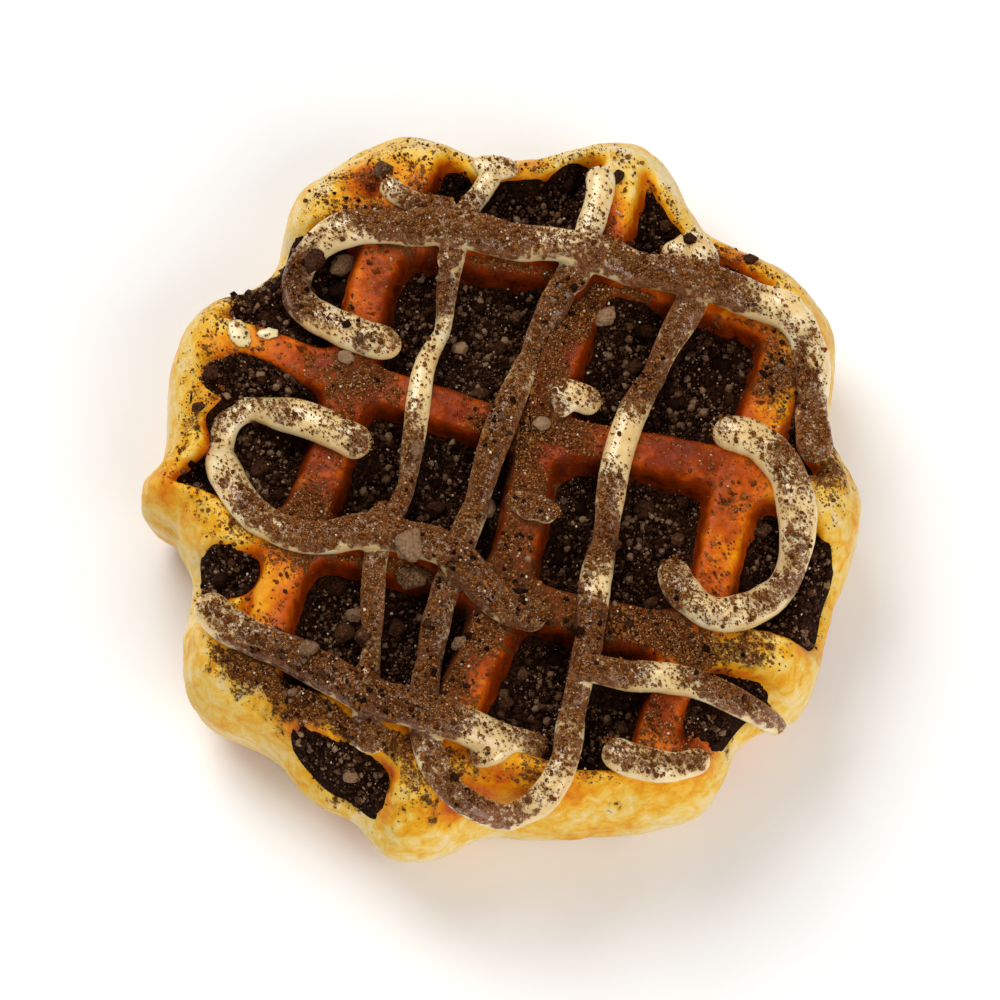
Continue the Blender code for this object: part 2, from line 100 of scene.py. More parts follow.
def layered_noise(points, layers, seed):
    """Soft noise of several sizes added up. Each layer is a size and a strength."""
    return sum(strength * soft_noise(points, size, seed + k) for k, (size, strength) in enumerate(layers))


def add_object(name, data):
    """An object with this mesh, lamp or camera, put into the scene."""
    thing = bpy.data.objects.new(name, data)
    bpy.context.scene.collection.objects.link(thing)
    return thing


def make_piece(name, points, triangles, **attributes):
    """A mesh object from points in millimetres, with one float attribute for each extra word."""
    mesh = bpy.data.meshes.new(name)
    mesh.vertices.add(len(points))
    mesh.vertices.foreach_set("co", (np.asarray(points) * MM).astype(np.float32).ravel())
    mesh.loops.add(triangles.size)
    mesh.loops.foreach_set("vertex_index", triangles.astype(np.int32).ravel())
    mesh.polygons.add(len(triangles))
    mesh.polygons.foreach_set("loop_start", np.arange(0, triangles.size, 3, dtype=np.int32))
    mesh.update(calc_edges=True)
    mesh.validate()
    for word, values in attributes.items():
        set_attribute(mesh, word, values)
    print(name, len(triangles), "triangles")
    return add_object(name, mesh)


def set_attribute(mesh, word, values):
    """Stores one number per point, which a material can read by its name."""
    layer = mesh.attributes.new(word, "FLOAT", "POINT")
    layer.data.foreach_set("value", np.asarray(values, np.float32))


def point_rows(mesh, normals=False):
    """A mesh's points in millimetres, or its point normals, as rows."""
    source, word, unit = (mesh.vertex_normals, "vector", 1) if normals else (mesh.vertices, "co", MM)
    rows = np.empty(len(source) * 3, np.float32)
    source.foreach_get(word, rows)
    return rows.reshape(-1, 3).astype(float) / unit


def split_quads(quads):
    """Each row of four corners becomes two rows of three."""
    return np.concatenate((quads[:, [0, 1, 2]], quads[:, [0, 2, 3]]))


def grid_quads(side):
    """The four corners of each cell of a square grid with this many points a side."""
    first = (np.arange(side - 1)[:, None] * side + np.arange(side - 1)).ravel()
    return np.column_stack((first, first + 1, first + side + 1, first + side))


def copied_triangles(triangles, corners, count):
    """The triangles of count copies of a solid with this many corners, one after another."""
    return (triangles[None] + (np.arange(count) * corners)[:, None, None]).reshape(-1, 3)


def keep_used(points, triangles):
    """Drops the points that no triangle uses. Also says which ones stay."""
    used, renumbered = np.unique(triangles, return_inverse=True)
    return points[used], renumbered.reshape(-1, 3), used


# %% [markdown]
# ## The plan of the waffle
#
# A deep waffle iron presses a grid of pockets from both sides. Batter runs out at
# the ends of the ridges and stops short between them, which gives the ragged
# outer edge. So the edge is told by its lobes and dips alone, with an even S from
# one to the next, and the grid by the spacing and turn of its ridges. These are
# the same sizes that the solid model was made from.

# %% Sizes of the baked waffle, in millimetres
THICKNESS = 25
MID_HEIGHT = THICKNESS / 2
WEB = 8                  # dough between an upper pocket and the lower one
ROW_TURN = math.radians(15)
LONG_RIDGES = (-23, 27.6)  # where the first one lies, and the spacing
CROSS_RIDGES = (-42.3, 23.9)
RIDGE_HALF_WIDTH = 3.8
RIDGE_WANDER = 0.7
# Places where the grid shrank out of line as it cooled: x, y, reach, shift in x and in y
GRID_BENDS = ((-37, 14.6, 6, 0, 2.6), (-29.5, -38.5, 6, 0, 2), (22, -36, 7, -3.2, 0),
              (-13, -45, 7, -3, 0))
CROWN_FLAT = 0.94        # ridge level from which a crown is flat
EDGE_ROUND = 6.5         # how far in the side starts to round off
PLATE_RADIUS = 46        # past the iron's plates the dough thins by a share, over a width
PLATE_FADE = 9
FLASH_LOSS = 0.45
RIM_WIDTH = 3.5          # the rim is whole up to here and gone from there
RIM_FADE = 7.5
RIM_LEVEL = 0.8          # how much of a pocket it fills

# Bearing in degrees and distance from the middle, for each lobe and dip of the edge
EDGE = np.array((
    (9, 45.2), (30, 51.3), (51, 46.6), (69, 54.2), (89, 47.3), (107, 53.9),
    (121, 52.3), (136, 44.6), (152, 48.7), (175, 46.2), (183.4, 49), (190, 44.7),
    (197, 43.9), (218, 52), (231, 49), (245, 51.4), (255, 54.3), (270, 49),
    (283, 50.3), (299, 53), (312, 48.9), (322, 51.3), (339, 48.1), (355, 48.9),
))

# Bearing and half width in degrees of the places where a pocket runs out at the edge
OPEN_RIM = ((16, 9), (137, 8), (201, 7), (241, 12), (272, 9), (315, 9), (334, 11))

# Bearing, half width in degrees and further width in millimetres of the rim's puffs
RIM_PUFFS = ((115, 10, 4), (172, 9, 1.5), (161, 10, 4), (214, 10, 3.5), (86, 14, 1))


# %% Heights of the dough
def edge_radius(bearing):
    """Distance from the middle to the edge: an S-shaped step from each lobe to the next dip."""
    degrees = np.degrees(bearing) % 360
    after = np.searchsorted(EDGE[:, 0], degrees) % len(EDGE)
    before = after - 1
    span = (EDGE[after, 0] - EDGE[before, 0]) % 360
    share = smooth_step(0, 1, ((degrees - EDGE[before, 0]) % 360) / span)
    return EDGE[before, 1] + (EDGE[after, 1] - EDGE[before, 1]) * share


def edge_inset(x, y):
    """Distance inside the edge, corrected from the radial one by the slope of the outline."""
    bearing = np.arctan2(y, x)
    step = math.radians(1)
    radius = edge_radius(bearing)
    slope = (edge_radius(bearing + step) - edge_radius(bearing - step)) / (2 * step)
    return (radius - np.hypot(x, y)) / np.hypot(1, slope / radius)


def ridge_level(x, y):
    """1 on a ridge, 0 in a pocket. Each ridge is 1 / (1 + t^5), and pockets multiply."""
    for middle_x, middle_y, reach, shift_x, shift_y in GRID_BENDS:
        near = bell(x, y, middle_x, middle_y, reach)
        x, y = x - shift_x * near, y - shift_y * near
    along = x * math.cos(ROW_TURN) - y * math.sin(ROW_TURN)
    across = x * math.sin(ROW_TURN) + y * math.cos(ROW_TURN)
    along = along + RIDGE_WANDER * np.sin(across / 8 + along / 19)
    across = across + RIDGE_WANDER * np.sin(along / 9 + 1.3 + across / 15)
    pocket = 1
    for value, (start, pitch) in ((along, LONG_RIDGES), (across, CROSS_RIDGES)):
        offset = (value - start + pitch / 2) % pitch - pitch / 2
        pocket = pocket * (1 - 1 / (1 + np.abs(offset / RIDGE_HALF_WIDTH) ** 5))
    return 1 - pocket


def rim_level(x, y):
    """The puffy rim that closes the outer pockets, gone where batter left one open."""
    bearing = np.degrees(np.arctan2(y, x))
    closed = 1
    for middle, half_width in OPEN_RIM:
        away = degrees_apart(bearing, middle)
        closed = closed * smooth_step(0.5 * half_width, 1.4 * half_width, away)
    inset = edge_inset(x, y)
    for middle, half_width, wider in RIM_PUFFS:
        away = degrees_apart(bearing, middle)
        inset = inset - wider * (1 - smooth_step(0.4 * half_width, half_width, away))
    return RIM_LEVEL * closed * (1 - smooth_step(RIM_WIDTH, RIM_FADE, inset))


def half_thickness(x, y):
    """Dough above the middle plane, falling to nothing at the edge on a quarter ellipse."""
    level = 1 - (1 - ridge_level(x, y)) * (1 - rim_level(x, y))
    flash = 1 - FLASH_LOSS * smooth_step(PLATE_RADIUS, PLATE_RADIUS + PLATE_FADE, np.hypot(x, y))
    full = (WEB / 2 + (THICKNESS - WEB) / 2 * np.minimum(level / CROWN_FLAT, 1)) * flash
    reach = EDGE_ROUND * (0.4 + 0.6 * full / MID_HEIGHT)
    share = np.clip(edge_inset(x, y) / reach, 0, 1)
    return full * np.sqrt(1 - (1 - share) ** 2)


# %% [markdown]
# ## The crust
#
# The baked skin is one closed surface. A square sheet of points is wrapped on to
# the disc, because its cells stay about the same size all over, where a fan of
# rings would crowd them in the middle. The outermost rows turn round the edge by
# equal angles, so the rounding stays smooth. The lower face is the same sheet
# mirrored, and both share the points of the edge.
#
# A skin that has baked is never quite even, so soft noise of three sizes swells
# and dents it along its normals, and soft folds run along the puffed rim. A number
# goes with each point, and the finish turns it into colour: pale where the dough
# bulged out past the iron, golden where the ridges meet the rim and orange towards
# the middle. On the pocket walls it is deeper, partly from the hot iron and partly
# as painted shade, and darker still at their feet and on the pocket floors, which
# is painted shade.

# %% The crust's points
GRID_CELLS = 220
EDGE_SHARE = 0.12        # share of the cells that turns round the edge
SWELLS = ((9, 0.3), (3.2, 0.17), (1.3, 0.09))  # size and depth in millimetres
FOLD_SPACING, FOLD_LENGTH, FOLD_DEPTH = 2, 7, 0.34
FOLD_CIRCLE = 50         # the radius on which the folds' length is measured
UNEVEN_BAKE = ((11, 0.07), (3.5, 0.09))
# The walls' share is partly browning by the iron and partly painted shade; the feet's share is painted shade.
PALE, MIDDLE, WALL_BROWN_AND_SHADE, FOOT_SHADE = 0.11, 0.56, 0.34, 0.15  # what rim, middle, pocket walls and their feet add
# Patches that the iron pressed harder or less: x, y, reach, how much further baked
BROWNED = (
    (-31.5, 16, 5, -0.1), (30.5, -14, 5.5, -0.1), (-30.5, -19.5, 5, -0.1), (0.5, -46.5, 4.5, 0.28),
    (22, -38, 5, 0.3), (33, 12, 5, 0.25), (-38, 12.5, 3.5, 0.22), (-26, -38.5, 4, 0.25),
    (-18.5, 41.5, 1.8, 0.4), (-8, 40.5, 2, 0.3), (-44, -5, 4.5, 0.12), (-40, 4, 3.5, 0.08),
    (-40, -21, 5, 0.08), (24, -47, 6, -0.08), (44, -10, 6, -0.06), (16, 44, 5, -0.08),
    (9.5, -47.5, 2.2, 0.26), (-6.5, -48.5, 1.6, 0.3), (26, -40.5, 2, 0.3), (32.5, 30, 2.4, 0.3),
    (-37, 31, 2, 0.15), (42, -25.5, 1.8, 0.3), (3, 43.5, 3, 0.22),
)


# %% A sheet wrapped on the disc
def wrapped_sheet(cells):
    """x and y of a square sheet wrapped on the disc, and which points lie on the edge.

    A point at distance s from the sheet's middle, counted square-wise, goes to the
    share s of the way out. Its bearing turns evenly along each side of the square.
    """
    ticks = np.linspace(-1, 1, cells + 1)
    u, v = np.meshgrid(ticks, ticks)
    wide = np.abs(u) >= np.abs(v)
    longer = np.where(wide, u, v)
    shorter = np.where(wide, v, u)
    swing = np.divide(shorter, longer, out=np.zeros_like(u), where=longer != 0) * math.pi / 4
    share = np.abs(longer)
    bearing = np.where(wide, np.where(u >= 0, swing, swing + math.pi),
                       np.where(v >= 0, math.pi / 2 - swing, -math.pi / 2 - swing))
    radius = edge_radius(bearing)
    turned = np.clip((1 - share) / EDGE_SHARE, 0, 1) * math.pi / 2
    inner = radius * share / (1 - EDGE_SHARE) * (1 - EDGE_ROUND / radius)
    outer = radius - EDGE_ROUND * (1 - np.cos(turned))
    distance = np.where(share > 1 - EDGE_SHARE, outer, inner)
    return (distance * np.cos(bearing)).ravel(), (distance * np.sin(bearing)).ravel(), (share == 1).ravel()


# %% How far it is baked, with painted shade in the pockets
def crust_bake_and_shade(x, y, upper):
    """How far each point is baked, from 0 at the pale rim to 1 in the darkest corners, with painted shade
    added on the pocket walls and at their feet.
    """
    inset = edge_inset(x, y)
    core = smooth_step(4, 20, inset)
    ridge = 1 - (1 - ridge_level(x, y)) * (1 - rim_level(x, y) / RIM_LEVEL)
    # Deeper colour on the pocket walls: partly browning by the iron, partly painted shade.
    wall = smooth_step(1.5, 6, inset) * (1 - smooth_step(0.7, 0.96, ridge))
    # Painted shade: darker still at the foot of each wall and on the pocket floors.
    foot_shade = wall * (1 - smooth_step(0.1, 0.5, ridge))
    top = PALE + MIDDLE * core + wall * (WALL_BROWN_AND_SHADE - 0.12 * core) + FOOT_SHADE * foot_shade
    off_seam = smooth_step(0, 3, inset)
    for *patch, amount in BROWNED:
        top = top + amount * bell(x, y, *patch) * off_seam
    below = PALE + 0.05 * off_seam + 0.34 * core + 0.12 * wall
    return np.where(upper, top, below)


# %% Make the crust
def rim_folds(points):
    """Soft folds that run along the puffed rim: noise drawn out more than three times that way."""
    x, y, z = points.T
    inset = edge_inset(x, y)
    along = np.arctan2(y, x) * FOLD_CIRCLE
    folded = np.column_stack((along / FOLD_LENGTH, (inset + z) / FOLD_SPACING, z * 0))
    return FOLD_DEPTH * soft_noise(folded, 1, seed=17) * (1 - smooth_step(5, 9, inset))


def make_crust():
    """The dough's closed skin, swollen a little along its normals."""
    x, y, on_edge = wrapped_sheet(GRID_CELLS)
    half = np.where(on_edge, 0, half_thickness(x, y))
    points = np.concatenate((np.column_stack((x, y, MID_HEIGHT + half)),
                             np.column_stack((x, y, MID_HEIGHT - half))))
    count = len(x)
    below = np.where(on_edge, np.arange(count), np.arange(count) + count)
    quads = grid_quads(GRID_CELLS + 1)
    triangles = np.concatenate((split_quads(quads), split_quads(below[quads[:, ::-1]])))
    points, triangles, used = keep_used(points, triangles)
    bake_and_shade = crust_bake_and_shade(points[:, 0], points[:, 1], used < count)
    crust = make_piece("waffle_crust", points, triangles)
    normals = point_rows(crust.data, normals=True)
    swell = layered_noise(points, SWELLS, seed=11) + rim_folds(points)
    points = points + normals * swell[:, None]
    points[:, 2] = np.maximum(points[:, 2], 0)
    crust.data.vertices.foreach_set("co", (points * MM).astype(np.float32).ravel())
    set_attribute(crust.data, "bake_and_shade", np.clip(bake_and_shade + layered_noise(points, UNEVEN_BAKE, seed=21), 0, 1))
    crust.data.shade_smooth()
    return crust


crust = make_crust()

# %% [markdown]
# ## The crumb in the pockets
#
# Crushed cookie fills the bottom of each pocket a couple of millimetres deep. Made
# only from loose grains it would need millions, so the heap is one lumpy surface
# and real grains lie on top. The surface is a fine square mesh cut out where the
# heap has any depth, and its border dives under the dough, where nobody sees it.

# %% The heap in each pocket
BED_DEPTH = 2.2
BED_LUMP = 0.5           # how much deeper or shallower its slow lumps make it
# Where more of it is heaped, some against a wall: x, y, reach, further depth
HEAPS = (
    (-37, 13.5, 3.5, 3), (-30.5, 12.7, 3.5, 3), (-28.5, -38.8, 3.5, 2.6), (-21, -41.5, 3.5, 2.6),
    (-31.5, 27, 4, 2.2), (39.5, -19, 4.5, 2.2), (-37.5, -12.5, 3.5, 2.2), (12.5, 25.5, 4.5, 2.6),
    (27.5, -35.5, 3, 2.6),
)
BED_CELL = 0.34          # spacing of its points
BED_REACH = 52           # half a side of the square grid that it is cut from
BED_THINNEST = 0.06      # the cut
BED_BURIED = 1           # how far the heap's border dives under the dough
BED_GRAIN = ((2.4, 0.34), (1.1, 0.3), (0.75, 0.16))


# %% Make the heap
def dough_top(x, y):
    """Height of the upper crust, without the swelling of its skin."""
    return MID_HEIGHT + half_thickness(x, y)


def bed_depth(x, y):
    """Depth of the heap, with slow lumps, thinning out towards the edge and up the walls."""
    floor = (1 - ridge_level(x, y)) * (1 - rim_level(x, y))
    lumps = np.sin(x + 1.5 * np.sin(y * 0.4)) * np.sin(y * 0.9 + 1.5 * np.sin(x * 0.35))
    depth = floor ** 2 * (BED_DEPTH + BED_LUMP * lumps)
    for *patch, height in HEAPS:
        depth = depth + height * floor * bell(x, y, *patch)
    return depth * smooth_step(0.5, 4, edge_inset(x, y))


def make_bed():
    """Closed shells cut from a square grid, one for each pocket."""
    ticks = np.arange(-BED_REACH, BED_REACH + BED_CELL, BED_CELL)
    x, y = (side.ravel() for side in np.meshgrid(ticks, ticks))
    depth = np.where(np.hypot(x, y) < edge_radius(np.arctan2(y, x)) - 0.5, bed_depth(x, y), 0)
    flat = np.column_stack((x, y, np.zeros_like(x)))
    grain = layered_noise(flat, BED_GRAIN, seed=31) * smooth_step(0.2, 1.2, depth)
    dive = BED_BURIED * (1 - smooth_step(0.1, 0.7, depth))
    floor = dough_top(x, y)
    upper = np.column_stack((x, y, floor + depth - dive + grain))
    lower = np.column_stack((x, y, floor - 1.5 * BED_BURIED))
    quads = grid_quads(len(ticks))
    quads = quads[np.all(depth[quads] > BED_THINNEST, axis=1)]
    under = len(x)
    edges = np.concatenate([quads[:, [k, (k + 1) % 4]] for k in range(4)])
    # An edge is on the border when no cell has it the other way round
    border = edges[~np.isin(edges @ (under, 1), edges @ (1, under))]
    walls = np.column_stack((border[:, 0], border[:, 0] + under, border[:, 1] + under, border[:, 1]))
    triangles = split_quads(np.concatenate((quads, quads[:, ::-1] + under, walls)))
    points, triangles, _ = keep_used(np.concatenate((upper, lower)), triangles)
    bed = make_piece("crumb_bed", points, triangles)
    bed.data.shade_smooth()
    return bed


bed = make_bed()

# %% [markdown]
# ## A map of heights
#
# Cream and crumbs have to rest on whatever is under them. A height map is the
# simplest way to know: a grid of numbers, a quarter of a millimetre apart, that
# holds the highest surface so far. It starts as dough and crumb heap, and each
# strand of cream is stamped into it once it is laid.

# %% The height map
MAP_CELL = 0.25
MAP_REACH = 57
map_ticks = np.arange(-MAP_REACH, MAP_REACH + MAP_CELL, MAP_CELL)
map_x, map_y = np.meshgrid(map_ticks, map_ticks)
inside_edge = np.hypot(map_x, map_y) < edge_radius(np.arctan2(map_y, map_x))
top_map = np.where(inside_edge, dough_top(map_x, map_y) + bed_depth(map_x, map_y), 0)
ground_map = top_map.copy()


def read_map(heights, x, y):
    """The map's value at each point, mixed from the four cells around it."""
    last = len(map_ticks) - 1.001  # just short of it, so that a place has cells on both sides
    row, column = (np.clip((place + MAP_REACH) / MAP_CELL, 0, last) for place in (y, x))
    i, j = np.floor(row).astype(int), np.floor(column).astype(int)
    a, b = row - i, column - j
    lower = heights[i, j] * (1 - b) + heights[i, j + 1] * b
    upper = heights[i + 1, j] * (1 - b) + heights[i + 1, j + 1] * b
    return lower * (1 - a) + upper * a


def stamp(middle, widths, heights):
    """Raises the map to the top of a strand: at each of its points a low round dome."""
    for (x, y, z), width, height in zip(middle, widths, heights):
        radius = width / 2
        low = np.searchsorted(map_ticks, (y - radius, x - radius))
        high = np.searchsorted(map_ticks, (y + radius, x + radius))
        window = (slice(low[0], high[0]), slice(low[1], high[1]))
        away = np.hypot(map_x[window] - x, map_y[window] - y) / radius
        dome = z + height / 2 * np.sqrt(np.clip(1 - away ** 2, 0, None))
        top_map[window] = np.where(away < 1, np.maximum(top_map[window], dome), top_map[window])


print("height map", top_map.shape, "highest", round(float(top_map.max()), 1), "mm")

# %% [markdown]
# ## Cream from a bottle
#
# The sauce is squeezed out in strands three to five millimetres wide. A strand
# bridges from ridge to ridge, sags into the pockets and climbs over the strands
# laid before it. Its path on the plan is a smooth curve through listed points.
# Its height at each place is the highest of all the parabolas that the
# ground under it can hold up, which is how a soft thread leaves a support.
#
# Round the path goes an oval section with a slow wobble, closed by round ends.
# Where strands cross, real cream runs together, so all the tubes are remeshed
# into one skin and lightly smoothed, which fills the corners between them.

# %% The strands
STRANDS = {
    "left_fall": (3.3, (
        (-0.9, 42.9), (-5, 35.5), (-7.3, 25.4), (-8, 20.1), (-10.5, 12.4), (-11.8, 2.5),
        (-13.6, -6.1), (-16.6, -14), (-17.3, -26.8), (-18.3, -41.1))),
    "tall_loop": (4.2, (
        (13.5, 42.8), (13.3, 37.6), (10.1, 28.1), (5, 17.6), (1.3, 7.8), (-2.1, -1.8),
        (-5.5, -13.3), (-9.1, -25.7), (-10.2, -35.9), (-9.2, -43), (-5.9, -48), (-0.6, -49.9),
        (5, -48.5), (8.2, -43.5), (9.4, -35.5), (11.6, -26.5), (12.5, -18), (13.9, -10.5),
        (15.2, -2.1), (17.4, 5.4), (21.2, 14.3), (25.6, 21.8), (27.6, 28.1), (26, 31.5),
        (23.5, 30.8))),
    "left_loop": (4.9, (
        (-17.6, 0.5), (-23.6, 3.7), (-29.4, 6.3), (-34.1, 8.3), (-37.6, 5.6), (-37.7, 0.2),
        (-35.2, -6), (-31.6, -9.9), (-25.7, -12.2), (-17.7, -11.8), (-10.3, -13.3), (-5.8, -16.1),
        (-0.6, -21.2), (6, -24))),
    "top_sweep": (5.2, (
        (42.3, -0.6), (41.8, 7.6), (41.8, 14.5), (38.5, 20.5), (29.6, 23.5), (18.8, 26.8),
        (9, 29.5), (-0.2, 31.4), (-10.4, 32.8), (-20, 33.2), (-25.5, 30.9), (-28.1, 27),
        (-26.1, 21.5), (-20.5, 17.6), (-13.5, 15.3))),
    "right_loop": (5, (
        (28.3, 3.4), (34.2, 1.7), (38.2, -3.1), (39.5, -10.3), (38.1, -16.4), (33.6, -21.8),
        (28.1, -23.1), (23.9, -19.6), (22.4, -14.8))),
    "lower_left_sweep": (5.2, (
        (-39.7, -20), (-36.6, -24.2), (-31.6, -27.1), (-25.3, -29.8), (-18.4, -34.6),
        (-8, -38.2), (-0.2, -40.3), (6.1, -40.3))),
    "right_hairpin": (4.2, (
        (9.5, -30.7), (15.6, -31.4), (23.5, -32.3), (31.3, -34.7), (37.8, -36.5))),
    "lower_right_curl": (4.7, (
        (13.6, -40.9), (16.8, -43.2), (21.8, -43.9), (27.4, -41.8))),
    "crossbar": (4, (
        (6, 9.1), (9.9, 8.5), (13.4, 7.2))),
    "stub": (3.4, (
        (0.9, -6.5), (4.2, -7.4), (7.5, -9))),
    "top_left_tail": (3.4, (
        (-16.2, 40.8), (-14, 38.4), (-10, 36.7), (-6.1, 35.3))),
}
STRAND_FLATNESS = 0.74   # height over width
STRAND_SINK = 0.9        # how far it settles into what carries it
SAG_RADIUS = 11          # its tightest bend where it leaves a support
STRETCH = 0.045          # the share of its width lost for each millimetre of sag
STRETCH_MOST = 6         # millimetres of sag after which it thins no more
STRAND_STEP = 0.4
STRAND_SIDES = 24
WIDTH_WOBBLE = ((6, 0.09), (2.2, 0.045))  # size and share of the width
CREAM_VOXEL = 0.36       # side of the cubes that run the strands together

# Dabs of cream where it ran together or dripped: x, y, length, width, height, turn in degrees
DABS = (
    (-7, 28.6, 5, 3.4, 2.6, 75), (10.2, 25.3, 5, 3.6, 2.4, 60), (24.8, 30.8, 6.2, 3.8, 2.8, 0),
    (-35.5, 17.8, 5, 3.2, 0.8, 115), (-31.6, 17.8, 3.6, 1.9, 0.7, 5), (-16.4, -9.6, 4, 3.2, 3, 70),
    (-18.3, -34.5, 5.4, 4.6, 3.6, 85), (-17.4, -40, 5.6, 4.8, 3, 150), (-1.5, -42.5, 6, 3.4, 2.4, 20),
    (-0.8, 43.6, 7, 3.8, 1.8, 170), (38.8, 21.2, 6, 3.6, 2, 140),
    (8.6, 7.2, 4.4, 3, 2, 60), (3.6, -7.9, 4.2, 3.6, 2.4, 150),
)


# %% From a few points to a tube
def curve_through(points, step):
    """A Catmull-Rom curve through the points, read off about every step millimetres."""
    points = np.array(points, float)
    before, beyond = 2 * points[:1] - points[1:2], 2 * points[-1:] - points[-2:-1]
    p = np.concatenate((before, points, beyond))[:, None, :]
    t = np.linspace(0, 1, 24, endpoint=False)[None, :, None]
    a, b, c, d = p[:-3], p[1:-2], p[2:-1], p[3:]
    curve = 0.5 * (2 * b + (c - a) * t + (2 * a - 5 * b + 4 * c - d) * t ** 2
                   + (3 * b - a - 3 * c + d) * t ** 3)
    curve = np.concatenate((curve.reshape(-1, 2), points[-1:]))
    length = np.concatenate(([0], np.cumsum(np.hypot(*np.diff(curve, axis=0).T))))
    places = np.linspace(0, length[-1], max(3, round(length[-1] / step) + 1))
    return np.stack([np.interp(places, length, curve[:, k]) for k in (0, 1)], axis=1), places


def tube(middle, widths, heights):
    """Points and triangles of a closed tube with an oval section across and above its path."""
    heading = np.gradient(middle, axis=0)
    heading /= np.linalg.norm(heading, axis=1)[:, None]
    across = np.column_stack((-heading[:, 1], heading[:, 0], np.zeros(len(middle))))
    across /= np.linalg.norm(across, axis=1)[:, None]
    upward = np.cross(heading, across)
    k = np.arange(STRAND_SIDES)
    after = (k + 1) % STRAND_SIDES
    turn = k * 2 * math.pi / STRAND_SIDES
    rings = (middle[:, None]
             + across[:, None] * (widths[:, None] / 2 * np.cos(turn))[..., None]
             + upward[:, None] * (heights[:, None] / 2 * np.sin(turn))[..., None])
    count = len(middle)
    ring = np.arange(count - 1)[:, None] * STRAND_SIDES
    ahead = ring + STRAND_SIDES
    quads = np.stack((ring + k, ahead + k, ahead + after, ring + after), axis=-1)
    last = (count - 1) * STRAND_SIDES
    poles = count * STRAND_SIDES
    start_fan = np.column_stack((np.full(STRAND_SIDES, poles), k, after))
    end_fan = np.column_stack((np.full(STRAND_SIDES, poles + 1), last + after, last + k))
    points = np.concatenate((rings.reshape(-1, 3), middle[:1], middle[-1:]))
    return points, np.concatenate((split_quads(quads.reshape(-1, 4)), start_fan, end_fan))[:, ::-1]


# %% How a strand lies
def lay_strand(points, width, seed):
    """The path and the changing width and height of a strand that rests on the map."""
    flat, places = curve_through(points, STRAND_STEP)
    ground = read_map(top_map, flat[:, 0], flat[:, 1])
    gap = places[:, None] - places[None, :]
    rest = np.max(ground[None, :] - gap ** 2 / (2 * SAG_RADIUS), axis=1)
    line = np.column_stack((places, np.zeros((len(places), 2))))
    wobble = 1 + layered_noise(line, WIDTH_WOBBLE, seed)
    from_end = np.minimum(places, places[-1] - places) / (width / 2)
    round_end = np.sqrt(np.clip(1 - (1 - np.clip(from_end, 0, 1)) ** 2, 0, 1))
    wide = width * (1 - STRETCH * np.clip(THICKNESS - rest, 0, STRETCH_MOST))
    high = wide * STRAND_FLATNESS
    middle = np.column_stack((flat, rest - STRAND_SINK + high / 2))
    return middle, wide * wobble * round_end, high * wobble * round_end


# %% How a dab lies
DAB_BRIDGE = 0.4         # how far below the cream around it a dab may lie, in its own heights
DAB_RISE = 0.15          # how far its middle lies above what carries it


def dab(x, y, length, width, height, turn):
    """A short fat strand that lies where the map says."""
    half = np.linspace(-0.5, 0.5, 15) * length
    swell = np.sqrt(np.clip(1 - (2 * half / length) ** 2, 0, 1))
    c, s = math.cos(math.radians(turn)), math.sin(math.radians(turn))
    px, py = x + half * c, y + half * s
    level = np.maximum(read_map(ground_map, px, py), np.mean(read_map(top_map, px, py)) - DAB_BRIDGE * height)
    return np.column_stack((px, py, level + DAB_RISE * height)), width * swell, height * swell


# %% Run the tubes together
def fuse_tubes(parts):
    """All the tubes as one skin: remeshed in small cubes, then smoothed a little."""
    offset = 0
    points, triangles = [], []
    for part_points, part_triangles in parts:
        points.append(part_points)
        triangles.append(part_triangles + offset)
        offset += len(part_points)
    piece = make_piece("cream_drizzle", np.concatenate(points), np.concatenate(triangles))
    remesh = piece.modifiers.new("run_together", "REMESH")
    remesh.mode = "VOXEL"
    remesh.voxel_size = CREAM_VOXEL * MM
    smooth = piece.modifiers.new("settle", "SMOOTH")
    smooth.factor = 0.5
    smooth.iterations = 5
    depsgraph = bpy.context.evaluated_depsgraph_get()
    piece.data = bpy.data.meshes.new_from_object(piece.evaluated_get(depsgraph))
    piece.modifiers.clear()
    piece.data.shade_smooth()
    print("cream_drizzle", len(piece.data.polygons), "faces after it has run together")
    return piece


# %% Lay the cream
cream_parts = []
for number, (width, points) in enumerate(STRANDS.values()):
    strand = lay_strand(points, width, 41 + 2 * number)
    stamp(*strand)
    cream_parts.append(tube(*strand))
for row in DABS:
    drop = dab(*row)
    stamp(*drop)
    cream_parts.append(tube(*drop))
cream = fuse_tubes(cream_parts)

# %% [markdown]
# ## Where the crumbs fell
#
# Crumbs are thrown by hand: thick in the middle, thin at the rim, and none on a
# wall too steep to hold them. A second map says how much lies at each place. It
# adds a soft round patch for each handful, takes away the patches that stayed
# bare, clumps with noise, fades with the slope, and is full in the pockets. A
# third map holds the piles, where the crumbs lie so thick that all goes dark.

